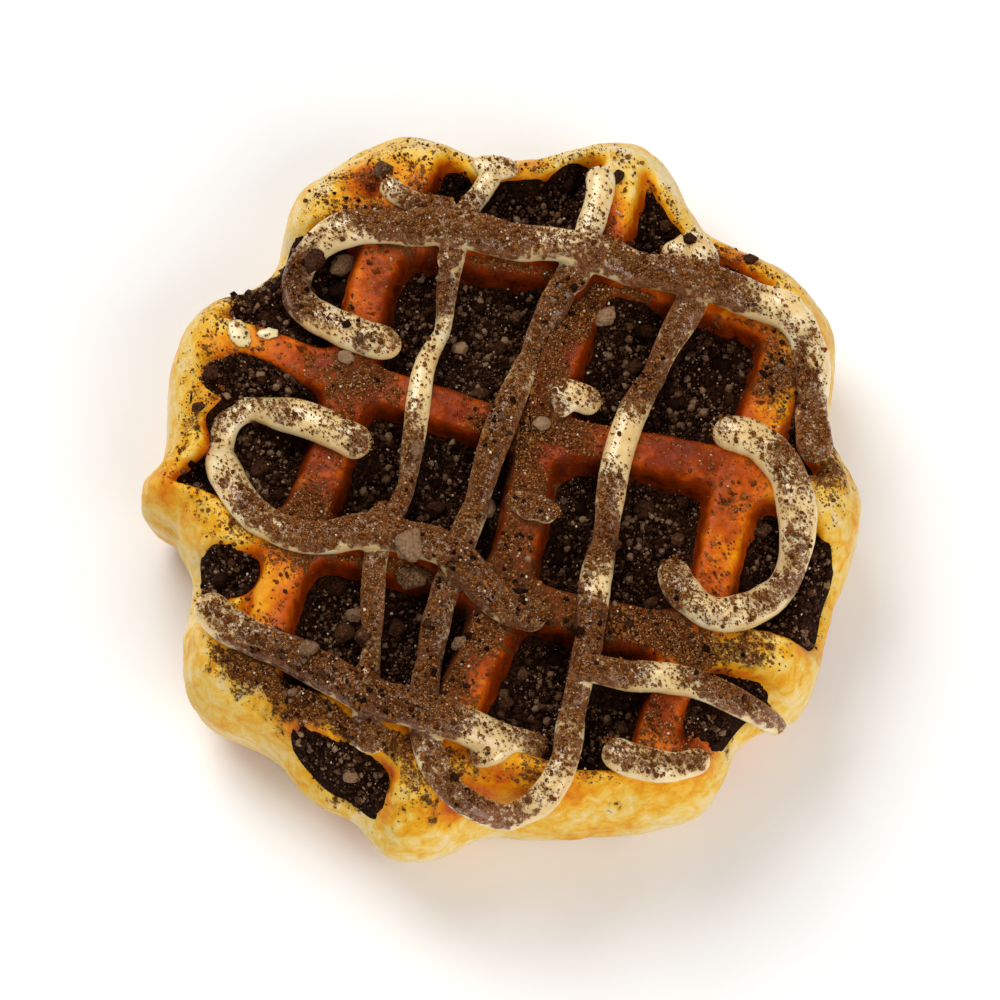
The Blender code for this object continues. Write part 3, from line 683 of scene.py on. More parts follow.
# %% The map of crumb cover
# Each handful: x, y, radius in millimetres, and the share of the surface it covers
HANDFULS = (
    (-0.2, -21.1, 11.5, 1), (5.9, -27, 9, 1), (-9.7, -28.5, 8, 1), (-10.4, -38, 7, 0.95),
    (-27.4, -34.3, 7.5, 1), (-19.3, -36.5, 6, 0.9), (21.6, -24.8, 8, 1), (27.5, -26, 6, 0.95),
    (39.5, -19.5, 5, 0.9), (18.9, 23, 8, 1), (9.3, 20.1, 6, 0.9), (-0.2, 31.8, 7, 0.95),
    (-11.1, 33.6, 7, 0.95), (-17.5, 34, 4.5, 0.8), (27, 25.2, 7, 0.95), (32.5, 20.5, 6, 0.9),
    (38.5, 12, 5.5, 0.95), (41, 2.4, 6, 0.9), (1.2, 1, 8, 1), (8, -3.5, 8, 0.95),
    (-4.3, -6.4, 7, 0.95), (-13.8, -13, 8, 1), (-23.4, -12.3, 7, 0.9), (-30.2, -9.3, 6, 0.6),
    (-31.5, 26, 5.5, 0.9), (-20.6, 12, 5.5, 0.85), (-0.2, 10.5, 6, 0.7), (5.2, 15.7, 6, 0.8),
    (12.1, 8.3, 6, 0.6), (20.2, 11.2, 5, 0.75), (13.4, -10.8, 7, 1), (11.4, -28.5, 6, 0.95),
    (29.8, -32.9, 7, 0.8), (37.9, -35.8, 6, 0.7), (15.5, -31, 4.5, 0.75), (-34.3, -24.8, 6, 0.6),
    (-1.6, -50.5, 5, 0.95), (-8.4, -49, 5, 0.9), (8, -40.2, 6, 0.6), (20.2, -43.9, 6, 0.5),
    (-13.1, 1, 5, 0.8), (-15.9, -6.4, 5, 0.9), (-7.7, 24, 4.5, 1), (43.4, -2, 5, 0.8),
    (-34.3, 23, 5, 0.85), (-17.6, -21.5, 7, 1), (20.4, 11, 5, 1), (2.5, -45.5, 5.5, 0.9),
    (22, -38.5, 5, 0.6), (-35, -30.5, 5, 0.55),
    (12, -47.5, 4.5, 0.65), (18, -49, 4.5, 0.75), (24.5, -46, 4.5, 0.75), (-31, -30.5, 5.5, 0.85),
    (12.9, -34, 5, 0.8),
    (-22.5, -31, 6, 1), (-14.5, -35.5, 5, 1), (-24, -46.5, 5, 0.85), (33.5, -31.5, 5, 0.8),
    (-29, 27, 4, 1), (-28.5, 21.5, 4, 1),
)
BARE = (
    (13.4, 40.7, 4, 0.9), (-20.6, 18.3, 4.5, 0.5), (-24.7, 4.6, 4.5, 0.55), (-37.7, 1, 5, 0.7),
    (-8.4, 17.9, 3.5, 0.85), (-10.4, 12.4, 3.5, 0.75), (16.4, 1, 4.5, 0.85), (33.9, 3.2, 5, 0.7),
    (41.4, -7.9, 4.5, 0.5), (28.4, -23.3, 5, 0.6), (8, -48.3, 4, 0.8), (-0.2, -43.2, 4.5, 0.6),
    (40.2, 21.8, 6, 0.95), (26.4, 30.4, 4, 0.85), (-17.2, 25.2, 5, 0.8), (-31.5, 15.7, 6, 0.9),
    (-7, 8.3, 5.5, 0.7), (18.9, 0.2, 6, 0.75), (30.5, -15.2, 5.5, 0.9), (-30.9, -19.6, 5.5, 0.9),
    (22.3, -38.8, 5, 0.6), (-2.2, -31.4, 3.5, 0.85), (6.6, -0.5, 3, 0.8), (10.7, 14.2, 2.5, 0.8),
    (10, 8.3, 3.5, 0.6), (-41.1, -24, 4, 0.5), (20.2, -45.4, 4, 0.5), (10.5, 35.5, 5, 0.75),
    (-2, 43, 4, 0.5), (20, 35, 5, 0.6), (45, 14, 4, 0.9), (38.5, -28, 5, 0.9),
    (21.5, -31.7, 4, 0.55), (12.8, -19.2, 2.5, 0.6), (-23.5, 31.5, 4.5, 0.35), (-14.9, 38.6, 3, 0.45),
    (-35.5, 18, 4, 0.9), (19.5, 43.5, 5.5, 0.75),
)
# Where the crumbs lie so thick that strands and ridges go dark below them
PILES = (
    (-30.5, -28.5, 5, 0.9), (-24.5, -32.5, 6, 1), (-17.5, -36.5, 5, 0.9), (-12.5, -37.5, 4, 0.8),
    (-6.5, -22, 7, 0.7), (-7.5, -32, 6, 0.7), (-2.5, -15.5, 6, 0.7), (4.5, -14, 7, 0.7),
    (4.5, -24.5, 6, 0.65), (18.5, -24.5, 5.5, 0.9), (26, -27, 5, 0.8), (9, 21.5, 5, 0.75),
    (35.5, 18, 4.5, 0.9), (37.5, 11, 4, 0.85), (-27.5, 27, 3.5, 0.7), (-18, 14.5, 4.5, 0.55),
    (0, 4, 6, 0.55), (-8, 23.5, 4, 0.8), (19.5, 12, 4, 0.75), (-14.5, -2.5, 5, 0.6),
    (-4, -49, 4.5, 0.6), (-20.5, 38.5, 3, 0.6), (12.5, -24.5, 4, 0.8), (34, -33.5, 4, 0.6),
    (-29, 27, 4, 0.9), (-28.5, 21.5, 3.5, 0.9), (-26.5, -36.5, 4, 0.8),
)
SCATTER = 0.32           # a few crumbs fall everywhere
STICKY = 0.35            # what cream holds more than dough
CLUMPS = ((3.8, 0.14), (1.6, 0.1), (0.8, 0.12))  # spacing in millimetres and strength
FLAT_ENOUGH = (0.45, 0.85)  # cosine of the slope where crumbs start to stay, and where all do
CREAM_SHOWS = (0.1, 0.6)  # thickness from which cream counts a little, and in full
HEAP_SHOWS = (0.25, 1.4)  # the same for the heap in a pocket


# %% From patches to maps
def patches(rows):
    """1 where no patch reaches, down to 1 - amount in the middle of one."""
    left = np.ones_like(map_x)
    for x, y, radius, amount in rows:
        left *= 1 - amount * bell(map_x, map_y, x, y, 0.6 * radius)
    return left


# How far the ground holds crumbs, from how flat it lies
slope_y, slope_x = np.gradient(top_map, MAP_CELL)
flatness_map = 1 / np.sqrt(1 + slope_x ** 2 + slope_y ** 2)
hold_map = smooth_step(*FLAT_ENOUGH, flatness_map)

# Where cream lies, and where a pocket's heap is open to the sky
cream_map = smooth_step(*CREAM_SHOWS, top_map - ground_map)
pocket_map = smooth_step(*HEAP_SHOWS, bed_depth(map_x, map_y)) * (1 - cream_map) * inside_edge

# What the handfuls missed, how the rest clumps, and what was thrown in the end
missed_map = patches(HANDFULS) * (1 - SCATTER) * (1 - STICKY * cream_map)
map_points = np.column_stack((map_x.ravel(), map_y.ravel(), np.zeros(map_x.size)))
clumped_map = layered_noise(map_points, CLUMPS, seed=51).reshape(map_x.shape)
thrown_map = np.clip((1 - missed_map) * patches(BARE) + clumped_map, 0, 1)

# The piles, and all the cover there is
pile_map = (1 - patches(PILES)) * inside_edge
cover_map = np.maximum(thrown_map * hold_map, pocket_map) * inside_edge
print("crumb cover, mean over the waffle:", round(float(cover_map[inside_edge].mean()), 2))

# %% Powder on crust and cream
THROWN_FROM = 0.3        # the crumbs came from the far side, so slopes that face it hold more
RAGGED = 0.45            # how much that varies from place to place
CREAM_BURIED = 0.85      # how much steeper a side may be under the thickest cover
DOUGH_BURIED = 0.2
THICK_COVER = (0.55, 0.95)
FACES_UP = (0.15, 0.8)   # where powder starts to stay, and where all of it does
TOP_LAYER = 2.5          # millimetres below the map that count as the top


def dust_on(piece, buried):
    """Stores the crumb cover at each point of a piece that faces up enough to hold it.

    Under the thickest cover the powder clings to the sides too.
    """
    points = point_rows(piece.data)
    normals = point_rows(piece.data, normals=True)
    facing = normals[:, 2] + THROWN_FROM * normals[:, 1]
    x, y, z = points.T
    thrown = read_map(thrown_map, x, y)
    ragged = facing + RAGGED * soft_noise(points, 1.1, seed=58) + buried * smooth_step(*THICK_COVER, thrown)
    dust = thrown * smooth_step(*FACES_UP, ragged)
    near_top = z > read_map(top_map, x, y) - TOP_LAYER
    set_attribute(piece.data, "dust", np.where(near_top, dust, 0))
    set_attribute(piece.data, "pile", np.where(near_top, read_map(pile_map, x, y), 0))


dust_on(crust, DOUGH_BURIED)
dust_on(cream, CREAM_BURIED)

# %% [markdown]
# ## The crumbs
#
# Every crumb that the eye can tell apart is a real little solid. They come in
# kinds: powder, dust and flakes on strands and ridges, fines, grains and bits in
# the pockets, pale grains on both that are partly sugar and partly painted glints,
# and chunks. One small shape is copied for each kind, and every copy is stretched,
# turned and knocked out of shape by seeded random numbers, all in one array. The
# finest have eight faces, the others twenty, and only the few chunks have more than a thousand.

# %% Small solids to copy
GOLDEN = (1 + math.sqrt(5)) / 2
OCTAHEDRON = (
    np.array(((1, 0, 0), (-1, 0, 0), (0, 1, 0), (0, -1, 0), (0, 0, 1), (0, 0, -1)), float),
    np.array(((0, 2, 4), (2, 1, 4), (1, 3, 4), (3, 0, 4), (2, 0, 5), (1, 2, 5), (3, 1, 5), (0, 3, 5))),
)
ICOSAHEDRON = (
    np.array(((-1, GOLDEN, 0), (1, GOLDEN, 0), (-1, -GOLDEN, 0), (1, -GOLDEN, 0),
              (0, -1, GOLDEN), (0, 1, GOLDEN), (0, -1, -GOLDEN), (0, 1, -GOLDEN),
              (GOLDEN, 0, -1), (GOLDEN, 0, 1), (-GOLDEN, 0, -1), (-GOLDEN, 0, 1))) / math.hypot(1, GOLDEN),
    np.array(((0, 11, 5), (0, 5, 1), (0, 1, 7), (0, 7, 10), (0, 10, 11), (1, 5, 9), (5, 11, 4),
              (11, 10, 2), (10, 7, 6), (7, 1, 8), (3, 9, 4), (3, 4, 2), (3, 2, 6), (3, 6, 8),
              (3, 8, 9), (4, 9, 5), (2, 4, 11), (6, 2, 10), (8, 6, 7), (9, 8, 1))),
)


# %% Turn and cut them
def finer(solid):
    """Cuts each triangle in four and pushes the new corners out to the unit sphere."""
    points, triangles = solid
    edges = np.sort(np.concatenate([triangles[:, [k, (k + 1) % 3]] for k in range(3)]), axis=1)
    pairs, number = np.unique(edges, axis=0, return_inverse=True)
    middles = points[pairs].mean(axis=1)
    middles /= np.linalg.norm(middles, axis=1)[:, None]
    ab, bc, ca = np.split(number.ravel() + len(points), 3)
    a, b, c = triangles.T
    parts = ((a, ab, ca), (b, bc, ab), (c, ca, bc), (ab, bc, ca))
    return np.concatenate((points, middles)), np.concatenate([np.column_stack(part) for part in parts])


def random_turns(draw, count):
    """Rotation matrices from random unit quaternions."""
    quaternions = draw.normal(size=(count, 4))
    w, x, y, z = quaternions.T / np.linalg.norm(quaternions, axis=1)
    return np.stack((
        np.stack((1 - 2 * (y * y + z * z), 2 * (x * y - z * w), 2 * (x * z + y * w)), axis=-1),
        np.stack((2 * (x * y + z * w), 1 - 2 * (x * x + z * z), 2 * (y * z - x * w)), axis=-1),
        np.stack((2 * (x * z - y * w), 2 * (y * z + x * w), 1 - 2 * (x * x + y * y)), axis=-1)), axis=1)


# %% Throw copies of one solid
CORNER_KNOCK = 0.32      # share by which a corner is pushed in or out
SIDE_STRETCH = (0.65, 1.15)


def scatter(name, solid, count, sizes, density, tones, seed, rise=0.2):
    """Throws count copies of a solid on the map, more where density is high.

    sizes are the smallest and largest width in millimetres, small ones being
    commoner, tones the darkest and lightest colour number, and rise the share of
    its width by which the middle of a crumb lies above the ground.
    """
    draw = np.random.default_rng(seed)
    chance = (density * inside_edge).ravel()
    cells = draw.choice(chance.size, size=count, p=chance / chance.sum())
    x = map_x.ravel()[cells] + draw.uniform(-0.5, 0.5, count) * MAP_CELL
    y = map_y.ravel()[cells] + draw.uniform(-0.5, 0.5, count) * MAP_CELL
    size = sizes[0] + (sizes[1] - sizes[0]) * draw.uniform(size=count) ** 2
    shape, triangles = solid
    knocked = shape[None] * (1 + draw.uniform(-CORNER_KNOCK, CORNER_KNOCK, (count, len(shape), 1)))
    stretched = knocked * draw.uniform(*SIDE_STRETCH, (count, 1, 3)) * size[:, None, None] / 2
    turned = np.einsum("nij,nkj->nki", random_turns(draw, count), stretched)
    z = read_map(top_map, x, y) + rise * size
    points = (turned + np.column_stack((x, y, z))[:, None]).reshape(-1, 3)
    tone = np.repeat(draw.uniform(*tones, count), len(shape))
    return make_piece(name, points, copied_triangles(triangles, len(shape), count), tone=tone)


# %% Powder, grains and sugar
FINEST = 24500           # copies with eight faces each, just under what a piece may have
STRAYS = 0.1             # crumbs that fall where the map says none
open_ground = hold_map * inside_edge * (1 - pocket_map)
open_cover = thrown_map * open_ground
strewn = open_cover ** 1.5 + STRAYS * open_ground
piled = pile_map * open_cover
grain_ground = pocket_map + 0.5 * piled
bit_ground = pocket_map + 0.3 * piled
# Name, solid, number of copies, widths, where they fall, tones and seed
powder = scatter("cookie_powder", OCTAHEDRON, FINEST, (0.2, 0.5), strewn, (0.2, 0.75), seed=61)
dust = scatter("cookie_dust", OCTAHEDRON, FINEST, (0.15, 0.36), open_cover ** 2, (0.35, 1), seed=62)
flakes = scatter("cookie_flakes", ICOSAHEDRON, 4200, (0.32, 0.85), strewn, (0.1, 0.65), seed=67)
fines = scatter("cookie_fines", OCTAHEDRON, FINEST, (0.22, 0.55), pocket_map, (0, 0.8), seed=66)
grains = scatter("cookie_grains", ICOSAHEDRON, 7800, (0.32, 0.85), grain_ground, (0.05, 0.85), seed=63)
bits = scatter("cookie_bits", ICOSAHEDRON, 1400, (0.7, 1.5), bit_ground, (0.15, 0.95), seed=64)
# Pale grains: partly real sugar, partly painted glints on the ridges and strands.
sugar_and_glints = scatter("sugar_and_glint_grains", ICOSAHEDRON, 3400, (0.16, 0.52), cover_map ** 1.4, (0, 1), seed=65, rise=0.35)

# %% [markdown]
# ## Chunks of cookie
#
# A few pieces are big enough to have a shape of their own, up to four or five
# millimetres. The named ones lie where the photograph's eye-catchers lie, and a
# seeded draw spreads the rest from large to small, exactly as in the solid model.
# Each is a sphere of many faces, made lumpy by noise, cut flat on a few sides as
# a broken cookie is, and stretched.

# %% Chunks
# x, y, length, width, height, turn in degrees, tone from dark to light
CHUNKS = (
    (-21.3, 29.7, 4.6, 3, 2.6, 25, 0.9), (-25.4, 28.7, 3.4, 2.6, 2.2, 70, 0.5),
    (-22, 25.7, 3, 2.6, 2.2, 10, 0.2), (-12.1, -14.7, 4.2, 3.4, 3, 80, 0.9),
    (-11.9, -17.8, 4, 3.2, 2.8, 15, 0.7), (-11.3, 0.8, 2.6, 1.7, 1.6, 75, 0.8),
    (-19.4, -20.9, 2.6, 1.8, 1.6, 0, 0.9), (-21, -23.5, 3, 2.6, 2.2, 40, 0.6),
    (-14.2, -22.7, 2.8, 2.2, 2, 60, 0.5), (-25.5, -28.5, 2.4, 2, 1.8, 20, 0.8),
    (-18.4, -24.9, 2.4, 2, 1.7, 50, 0.6), (-21.7, -17.4, 2.8, 2.2, 1.8, 10, 0.4),
    (-1.6, -6.2, 2.3, 1.5, 1.5, 85, 1.2), (14.1, 21, 3, 2.4, 2, 60, 0.9),
    (18.2, 15.4, 2.6, 2, 1.8, 50, 0.5), (5.3, 4.4, 2.2, 1.8, 1.6, 30, 1),
    (-19.8, -43.8, 2.2, 1.8, 1.5, 0, 0.9), (19.3, -5.3, 2.8, 2.2, 2, 20, 0.5),
    (13.4, -28.5, 2, 1.8, 1.6, 0, 1.1), (14.9, -12.6, 2, 1.7, 1.4, 30, 0.6),
    (-5.7, 18, 2.2, 1.8, 1.6, 0, 1), (-21.1, 14.2, 2.2, 1.8, 1.6, 0, 1),
    (-5.5, -26.6, 2.2, 1.8, 1.6, 40, 0.8), (25.7, 31.6, 1.8, 1.4, 1.2, 20, 0.45),
    (34.1, 29.9, 2, 1.4, 1.2, 0, 0.5), (16, 41.2, 1.8, 1.3, 1.2, 65, 0.45),
    (-16.4, 42.5, 2.6, 2, 1.8, 35, 0.7),
)
LOOSE_BITS = 32
BIT_LARGEST, BIT_SMALLEST = 2.6, 1.7
BIT_SPACING = 4.6        # least distance from another one
BIT_LEVEL = 0.4          # highest ridge level, so that they lie in the pockets
BIT_CLEAR = 3.4          # least distance from the line of a strand
BIT_REACH = 44
BIT_INSET = 4            # least distance from the edge
BIT_SEED = 21
BREAKS = 6
BREAK_DEPTHS = (0.68, 0.95)  # distance of a cut from the middle, in radii
LUMPS = ((0.9, 0.2), (0.4, 0.13), (0.16, 0.08))  # size in radii, and strength
CUT_LOSS = 1.12          # makes good what the cuts take away
CHUNK_RISE = 0.25        # share of its height by which a chunk's middle is raised


# %% Draw the loose pieces
def loose_rows():
    """Further pieces from large to small, drawn at random, none near another."""
    draw = np.random.default_rng(BIT_SEED)
    lines = np.concatenate([curve_through(points, 1)[0] for width, points in STRANDS.values()])
    rows = list(CHUNKS)
    while len(rows) < len(CHUNKS) + LOOSE_BITS:
        bearing = draw.uniform(0, 2 * math.pi)
        x, y = np.array((math.cos(bearing), math.sin(bearing))) * BIT_REACH * math.sqrt(draw.uniform())
        if edge_inset(x, y) < BIT_INSET or ridge_level(x, y) > BIT_LEVEL:
            continue
        if np.min(np.hypot(lines[:, 0] - x, lines[:, 1] - y)) < BIT_CLEAR:
            continue
        if min(math.hypot(x - row[0], y - row[1]) for row in rows) < BIT_SPACING:
            continue
        share = (len(rows) - len(CHUNKS)) / LOOSE_BITS
        size = BIT_LARGEST + (BIT_SMALLEST - BIT_LARGEST) * share
        rows.append((x, y, size, size * draw.uniform(0.7, 0.95), size * draw.uniform(0.6, 0.8),
                     draw.uniform(0, 360), 0.2 + 0.5 * ((len(rows) * 7) % 10) / 10))
    return np.array(rows)


# %% Break and place them
def break_flat(solids):
    """Cuts each solid flat on a few sides: what lies past a plane is pressed back on to it."""
    draw = np.random.default_rng(BIT_SEED + 1)
    for _ in range(BREAKS):
        sides = draw.normal(size=(len(solids), 1, 3))
        sides /= np.linalg.norm(sides, axis=2, keepdims=True)
        depth = draw.uniform(*BREAK_DEPTHS, (len(solids), 1, 1))
        past = np.sum(solids * sides, axis=2, keepdims=True) - depth
        solids = solids - np.maximum(past, 0) * sides
    return solids


def make_chunks():
    """All chunks as one piece of lumpy, broken solids."""
    rows = loose_rows()
    shape, triangles = finer(finer(finer(ICOSAHEDRON)))
    count = len(rows)
    apart = shape[None] + 17 * np.arange(count)[:, None, None]
    lump = 1 + layered_noise(apart.reshape(-1, 3), LUMPS, seed=71)
    local = CUT_LOSS * break_flat(shape[None] * lump.reshape(count, -1, 1)) * rows[:, None, 2:5] / 2
    turn = np.radians(rows[:, 5])[:, None]
    c, s = np.cos(turn), np.sin(turn)
    x = local[..., 0] * c - local[..., 1] * s + rows[:, :1]
    y = local[..., 0] * s + local[..., 1] * c + rows[:, 1:2]
    z = local[..., 2] + (read_map(top_map, rows[:, 0], rows[:, 1]) + CHUNK_RISE * rows[:, 4])[:, None]
    points = np.stack((x, y, z), axis=-1).reshape(-1, 3)
    chunks = make_piece("cookie_chunks", points, copied_triangles(triangles, len(shape), count),
                        tone=np.repeat(rows[:, 6], len(shape)))
    chunks.data.shade_smooth()
    return chunks


chunks = make_chunks()

# %% [markdown]
# ## Finishes
#
# Colours are written as the eye sees them, in sRGB hex, and one function turns
# them into the linear numbers that light is reckoned in. A second function adds a
# node with its settings and links, and short ones on top of it give the nodes that
# come back most, so that a finish reads from top to bottom.


# %% Helpers for finishes
def linear(hex_colour):
    """sRGB hex to linear red, green, blue and full alpha."""
    channels = np.array([int(hex_colour[k:k + 2], 16) for k in (1, 3, 5)]) / 255
    low = channels / 12.92
    high = ((channels + 0.055) / 1.055) ** 2.4
    return (*np.where(channels <= 0.04045, low, high).tolist(), 1)


def add_node(tree, kind, inputs=None, **settings):
    """A node with its settings. An input is a number, a colour, or a socket to link from."""
    node = tree.nodes.new(kind)
    for word, value in settings.items():
        setattr(node, word, value)
    for word, value in (inputs or {}).items():
        if isinstance(value, bpy.types.NodeSocket):
            tree.links.new(value, node.inputs[word])
        else:
            node.inputs[word].default_value = value
    return node


def new_finish(name, roughness, **sockets):
    """A Principled material, its tree and its shader, with values set on the shader itself."""
    material = bpy.data.materials.new(name)
    material.use_nodes = True
    tree = material.node_tree
    shader = tree.nodes["Principled BSDF"]
    shader.inputs["Roughness"].default_value = roughness
    for word, value in sockets.items():
        shader.inputs[word.replace("_", " ")].default_value = value
    return material, tree, shader


# %% Nodes that come back most
def object_place(tree):
    """Where a point lies on its own object, in metres."""
    return add_node(tree, "ShaderNodeTexCoord").outputs["Object"]


def attribute(tree, word):
    """The number stored under this word at each point."""
    return add_node(tree, "ShaderNodeAttribute", attribute_name=word).outputs["Fac"]


def noise(tree, place, spacing, detail, roughness=0.5, distortion=0):
    """Noise from 0 to 1 with lumps this many metres apart."""
    node = add_node(tree, "ShaderNodeTexNoise", {"Vector": place, "Scale": 1 / spacing, "Detail": detail,
                                                 "Roughness": roughness, "Distortion": distortion})
    return node.outputs["Fac"]


def multiply_add(tree, value, factor, plus):
    """value times factor, plus another number or socket."""
    node = add_node(tree, "ShaderNodeMath", {0: value, 1: factor, 2: plus}, operation="MULTIPLY_ADD")
    return node.outputs["Value"]


def spread(tree, value, start=(0, 1), end=(0, 1)):
    """Carries numbers from the range start over to the range end, and stops at its ends."""
    node = add_node(tree, "ShaderNodeMapRange", {"Value": value, "From Min": start[0], "From Max": start[1],
                                                 "To Min": end[0], "To Max": end[1]})
    return node.outputs["Result"]


def ramp(tree, factor, stops):
    """A colour ramp from pairs of position and sRGB hex colour."""
    node = add_node(tree, "ShaderNodeValToRGB", {"Fac": factor})
    elements = node.color_ramp.elements
    while len(elements) < len(stops):
        elements.new(0.5)
    for element, (position, colour) in zip(elements, stops):
        element.position = position
        element.color = linear(colour)
    return node.outputs["Color"]


def raise_skin(tree, shader, height, strength, distance):
    """Lets light fall on the shader as if its surface rose and fell with height."""
    bump = add_node(tree, "ShaderNodeBump", {"Height": height, "Strength": strength, "Distance": distance})
    tree.links.new(bump.outputs["Normal"], shader.inputs["Normal"])


# %% [markdown]
# ## Crumb powder in the finish
#
# The finest powder is too small to model: specks about a third of a millimetre
# wide. Noise of that size is cut at a height that falls as the cover rises, so bare
# skin shows a few specks, half cover shows islands, and full cover closes up. Where
# the cover is thick, a thin brown film lies between them too. The same specks lift
# the surface a little in the bump.

# %% Specks over any base colour
SPECK = 0.62 * MM        # spacing of the powder specks
SPECK_CUT = (0.72, 0.36)  # height of the cut without cover and under full cover
SPECK_BORDER = (-0.03, 0.05)  # how sharp a speck's border is
DRIFTS, PILES_COUNT = 1.2, 0.4  # what slow noise and the piles add to the cover
FILM_FROM, FILM_MOST = (1.04, 1.8), 0.8
PILE_DARK = -0.13        # piles take their colours from further down the ramp
POWDER_ROUGH = 0.85
POWDER_LIFT = 0.6        # how far it stands up in the bump


# %% Lay the specks
def dust_over(tree, base, skin_bump, shader, speck_stops):
    """Lays crumb specks over a base colour and a bump height, and wires both to the shader."""
    place = object_place(tree)
    cover = attribute(tree, "dust")
    pile = attribute(tree, "pile")
    cut = spread(tree, cover, end=SPECK_CUT)
    grit = noise(tree, place, SPECK, detail=4, roughness=0.7)
    specks = spread(tree, multiply_add(tree, cut, -1, grit), SPECK_BORDER)
    drifted = multiply_add(tree, noise(tree, place, SPECK / 0.3, detail=3), DRIFTS, cover)
    film = spread(tree, multiply_add(tree, pile, PILES_COUNT, drifted), FILM_FROM, (0, FILM_MOST))
    mask = add_node(tree, "ShaderNodeMath", {0: specks, 1: film}, operation="MAXIMUM").outputs["Value"]
    mottle = noise(tree, place, SPECK / 2, detail=3, roughness=0.7)
    speck = ramp(tree, multiply_add(tree, pile, PILE_DARK, mottle), speck_stops)
    mixed = add_node(tree, "ShaderNodeMix", {"Factor": mask, "A": base, "B": speck}, data_type="RGBA")
    tree.links.new(mixed.outputs["Result"], shader.inputs["Base Color"])
    skin_rough = shader.inputs["Roughness"].default_value
    tree.links.new(spread(tree, mask, end=(skin_rough, POWDER_ROUGH)), shader.inputs["Roughness"])
    height = multiply_add(tree, mask, POWDER_LIFT, skin_bump)
    raise_skin(tree, shader, height, strength=0.7, distance=0.22 * MM)


# %% [markdown]
# ## Baked dough
#
# Yeast dough with pearl sugar bakes to a thin glossy skin: butter and melted
# sugar make it shine, and light goes a little way into the crumb below, which
# keeps the pale rim soft. The number stored at each point, how far it baked plus
# painted shade in the pockets, is streaked by noise and runs through a ramp from
# cream yellow over gold and orange to caramel. Noise under a millimetre wide
# gives the skin its fine pores.


# %% The crust's finish
BLOTCH = 0.62            # how far streaks move the bake number
CRUST_SPECKS = ((0.28, "#2E0E02"), (0.5, "#5E3310"), (0.66, "#865830"), (0.78, "#C49C74"))
# The darkest colours of this ramp also serve as painted shade on the pocket walls and at their feet.
CRUST_COLOURS = ((0, "#EBD29C"), (0.11, "#EBC258"), (0.2, "#E8A91E"), (0.32, "#DF8605"),
                 (0.48, "#C05200"), (0.7, "#802A00"), (1, "#360E00"))


def baked_dough():
    """Glossy caramelised waffle crust, coloured by how far it baked plus painted shade in the pockets."""
    material, tree, shader = new_finish("baked_yeast_dough", roughness=0.34, IOR=1.45,
                                        Specular_IOR_Level=0.14, Subsurface_Weight=0.08,
                                        Subsurface_Radius=(1, 0.45, 0.15), Subsurface_Scale=1.2 * MM)
    place = object_place(tree)
    blotch = noise(tree, place, 2 * MM, detail=5, roughness=0.65, distortion=0.5)
    varied = multiply_add(tree, blotch, BLOTCH, attribute(tree, "bake_and_shade"))
    centred = multiply_add(tree, varied, 1, -BLOTCH / 2)
    pores = noise(tree, place, 0.7 * MM, detail=4, roughness=0.6)
    dust_over(tree, ramp(tree, centred, CRUST_COLOURS), pores, shader, CRUST_SPECKS)
    return material


# %% [markdown]
# ## Cream sauce
#
# Thick vanilla cream is fat and sugar in water: bright, slightly yellow, very
# glossy and translucent. Subsurface scattering softens its shadows, and a clear
# coat over a low roughness gives it the wet highlight along its back.


# %% The cream's finish
CREAM_COLOURS = ((0.35, "#DFBC7C"), (0.52, "#EBCE94"), (0.7, "#F4E2B8"))
CREAM_SPECKS = ((0.28, "#441A03"), (0.5, "#774015"), (0.66, "#A57140"), (0.78, "#DCB88C"))


def cream_sauce():
    """Thick, glossy, translucent cream with powder stuck to it."""
    material, tree, shader = new_finish("vanilla_cream_sauce", roughness=0.25, IOR=1.42, Coat_Weight=0.6,
                                        Coat_Roughness=0.15, Subsurface_Weight=0.45,
                                        Subsurface_Radius=(1, 0.7, 0.4), Subsurface_Scale=1.5 * MM)
    place = object_place(tree)
    colour = ramp(tree, noise(tree, place, 4 * MM, detail=3), CREAM_COLOURS)
    dust_over(tree, colour, noise(tree, place, 1.4 * MM, detail=2), shader, CREAM_SPECKS)
    return material


# %% [markdown]
# ## Cookie crumb and sugar
#
# Dark cocoa cookie breaks into dry, rough grains with a dull bloom of its own
# flour. Each crumb carries a tone number, so neighbours differ and the heap gets
# depth. The crumb in the pockets is coloured darker, partly as painted shade, and
# the powder on top lighter, partly as painted light. Sugar grains are pale and
# slightly see-through, and catch the light; their pale colour also stands for
# painted glints.

# %% The crumbs' finishes
# Cookie in the pockets, bits and chunks: dark, partly its own colour and partly painted shade.
COCOA_AND_POCKET_SHADE = ((0, "#0D0400"), (0.35, "#240F05"), (0.65, "#4C2F1C"), (1, "#947456"))
# Powder on strands and ridges: lighter, partly for its fineness and partly as painted light on the tops.
COCOA_POWDER_AND_TOP_LIGHT = ((0, "#421D06"), (0.35, "#693811"), (0.65, "#925B27"), (1, "#C89868"))


def cocoa_cookie(name, stops, roughness):
    """Dry dark cookie, each crumb coloured by its own tone, with a fine floury bloom."""
    material, tree, shader = new_finish(name, roughness, IOR=1.45, Specular_IOR_Level=0.06)
    bloom = noise(tree, object_place(tree), 0.35 * MM, detail=3, roughness=0.7)
    varied = multiply_add(tree, bloom, 1, attribute(tree, "tone"))
    centred = multiply_add(tree, varied, 1, -0.5)
    tree.links.new(ramp(tree, centred, stops), shader.inputs["Base Color"])
    raise_skin(tree, shader, bloom, strength=0.6, distance=0.15 * MM)
    return material


def sugar_crystal_and_glint():
    """Pale grains of sugar and cream dusted with cookie powder, and partly painted glints."""
    material, tree, shader = new_finish("sugar_crystal_and_glint", roughness=0.3, IOR=1.5, Subsurface_Weight=0.25,
                                        Subsurface_Scale=0.4 * MM)
    colour = ramp(tree, attribute(tree, "tone"), ((0, "#6B4630"), (0.55, "#9C7858"), (1, "#DFC9AE")))
    tree.links.new(colour, shader.inputs["Base Color"])
    return material


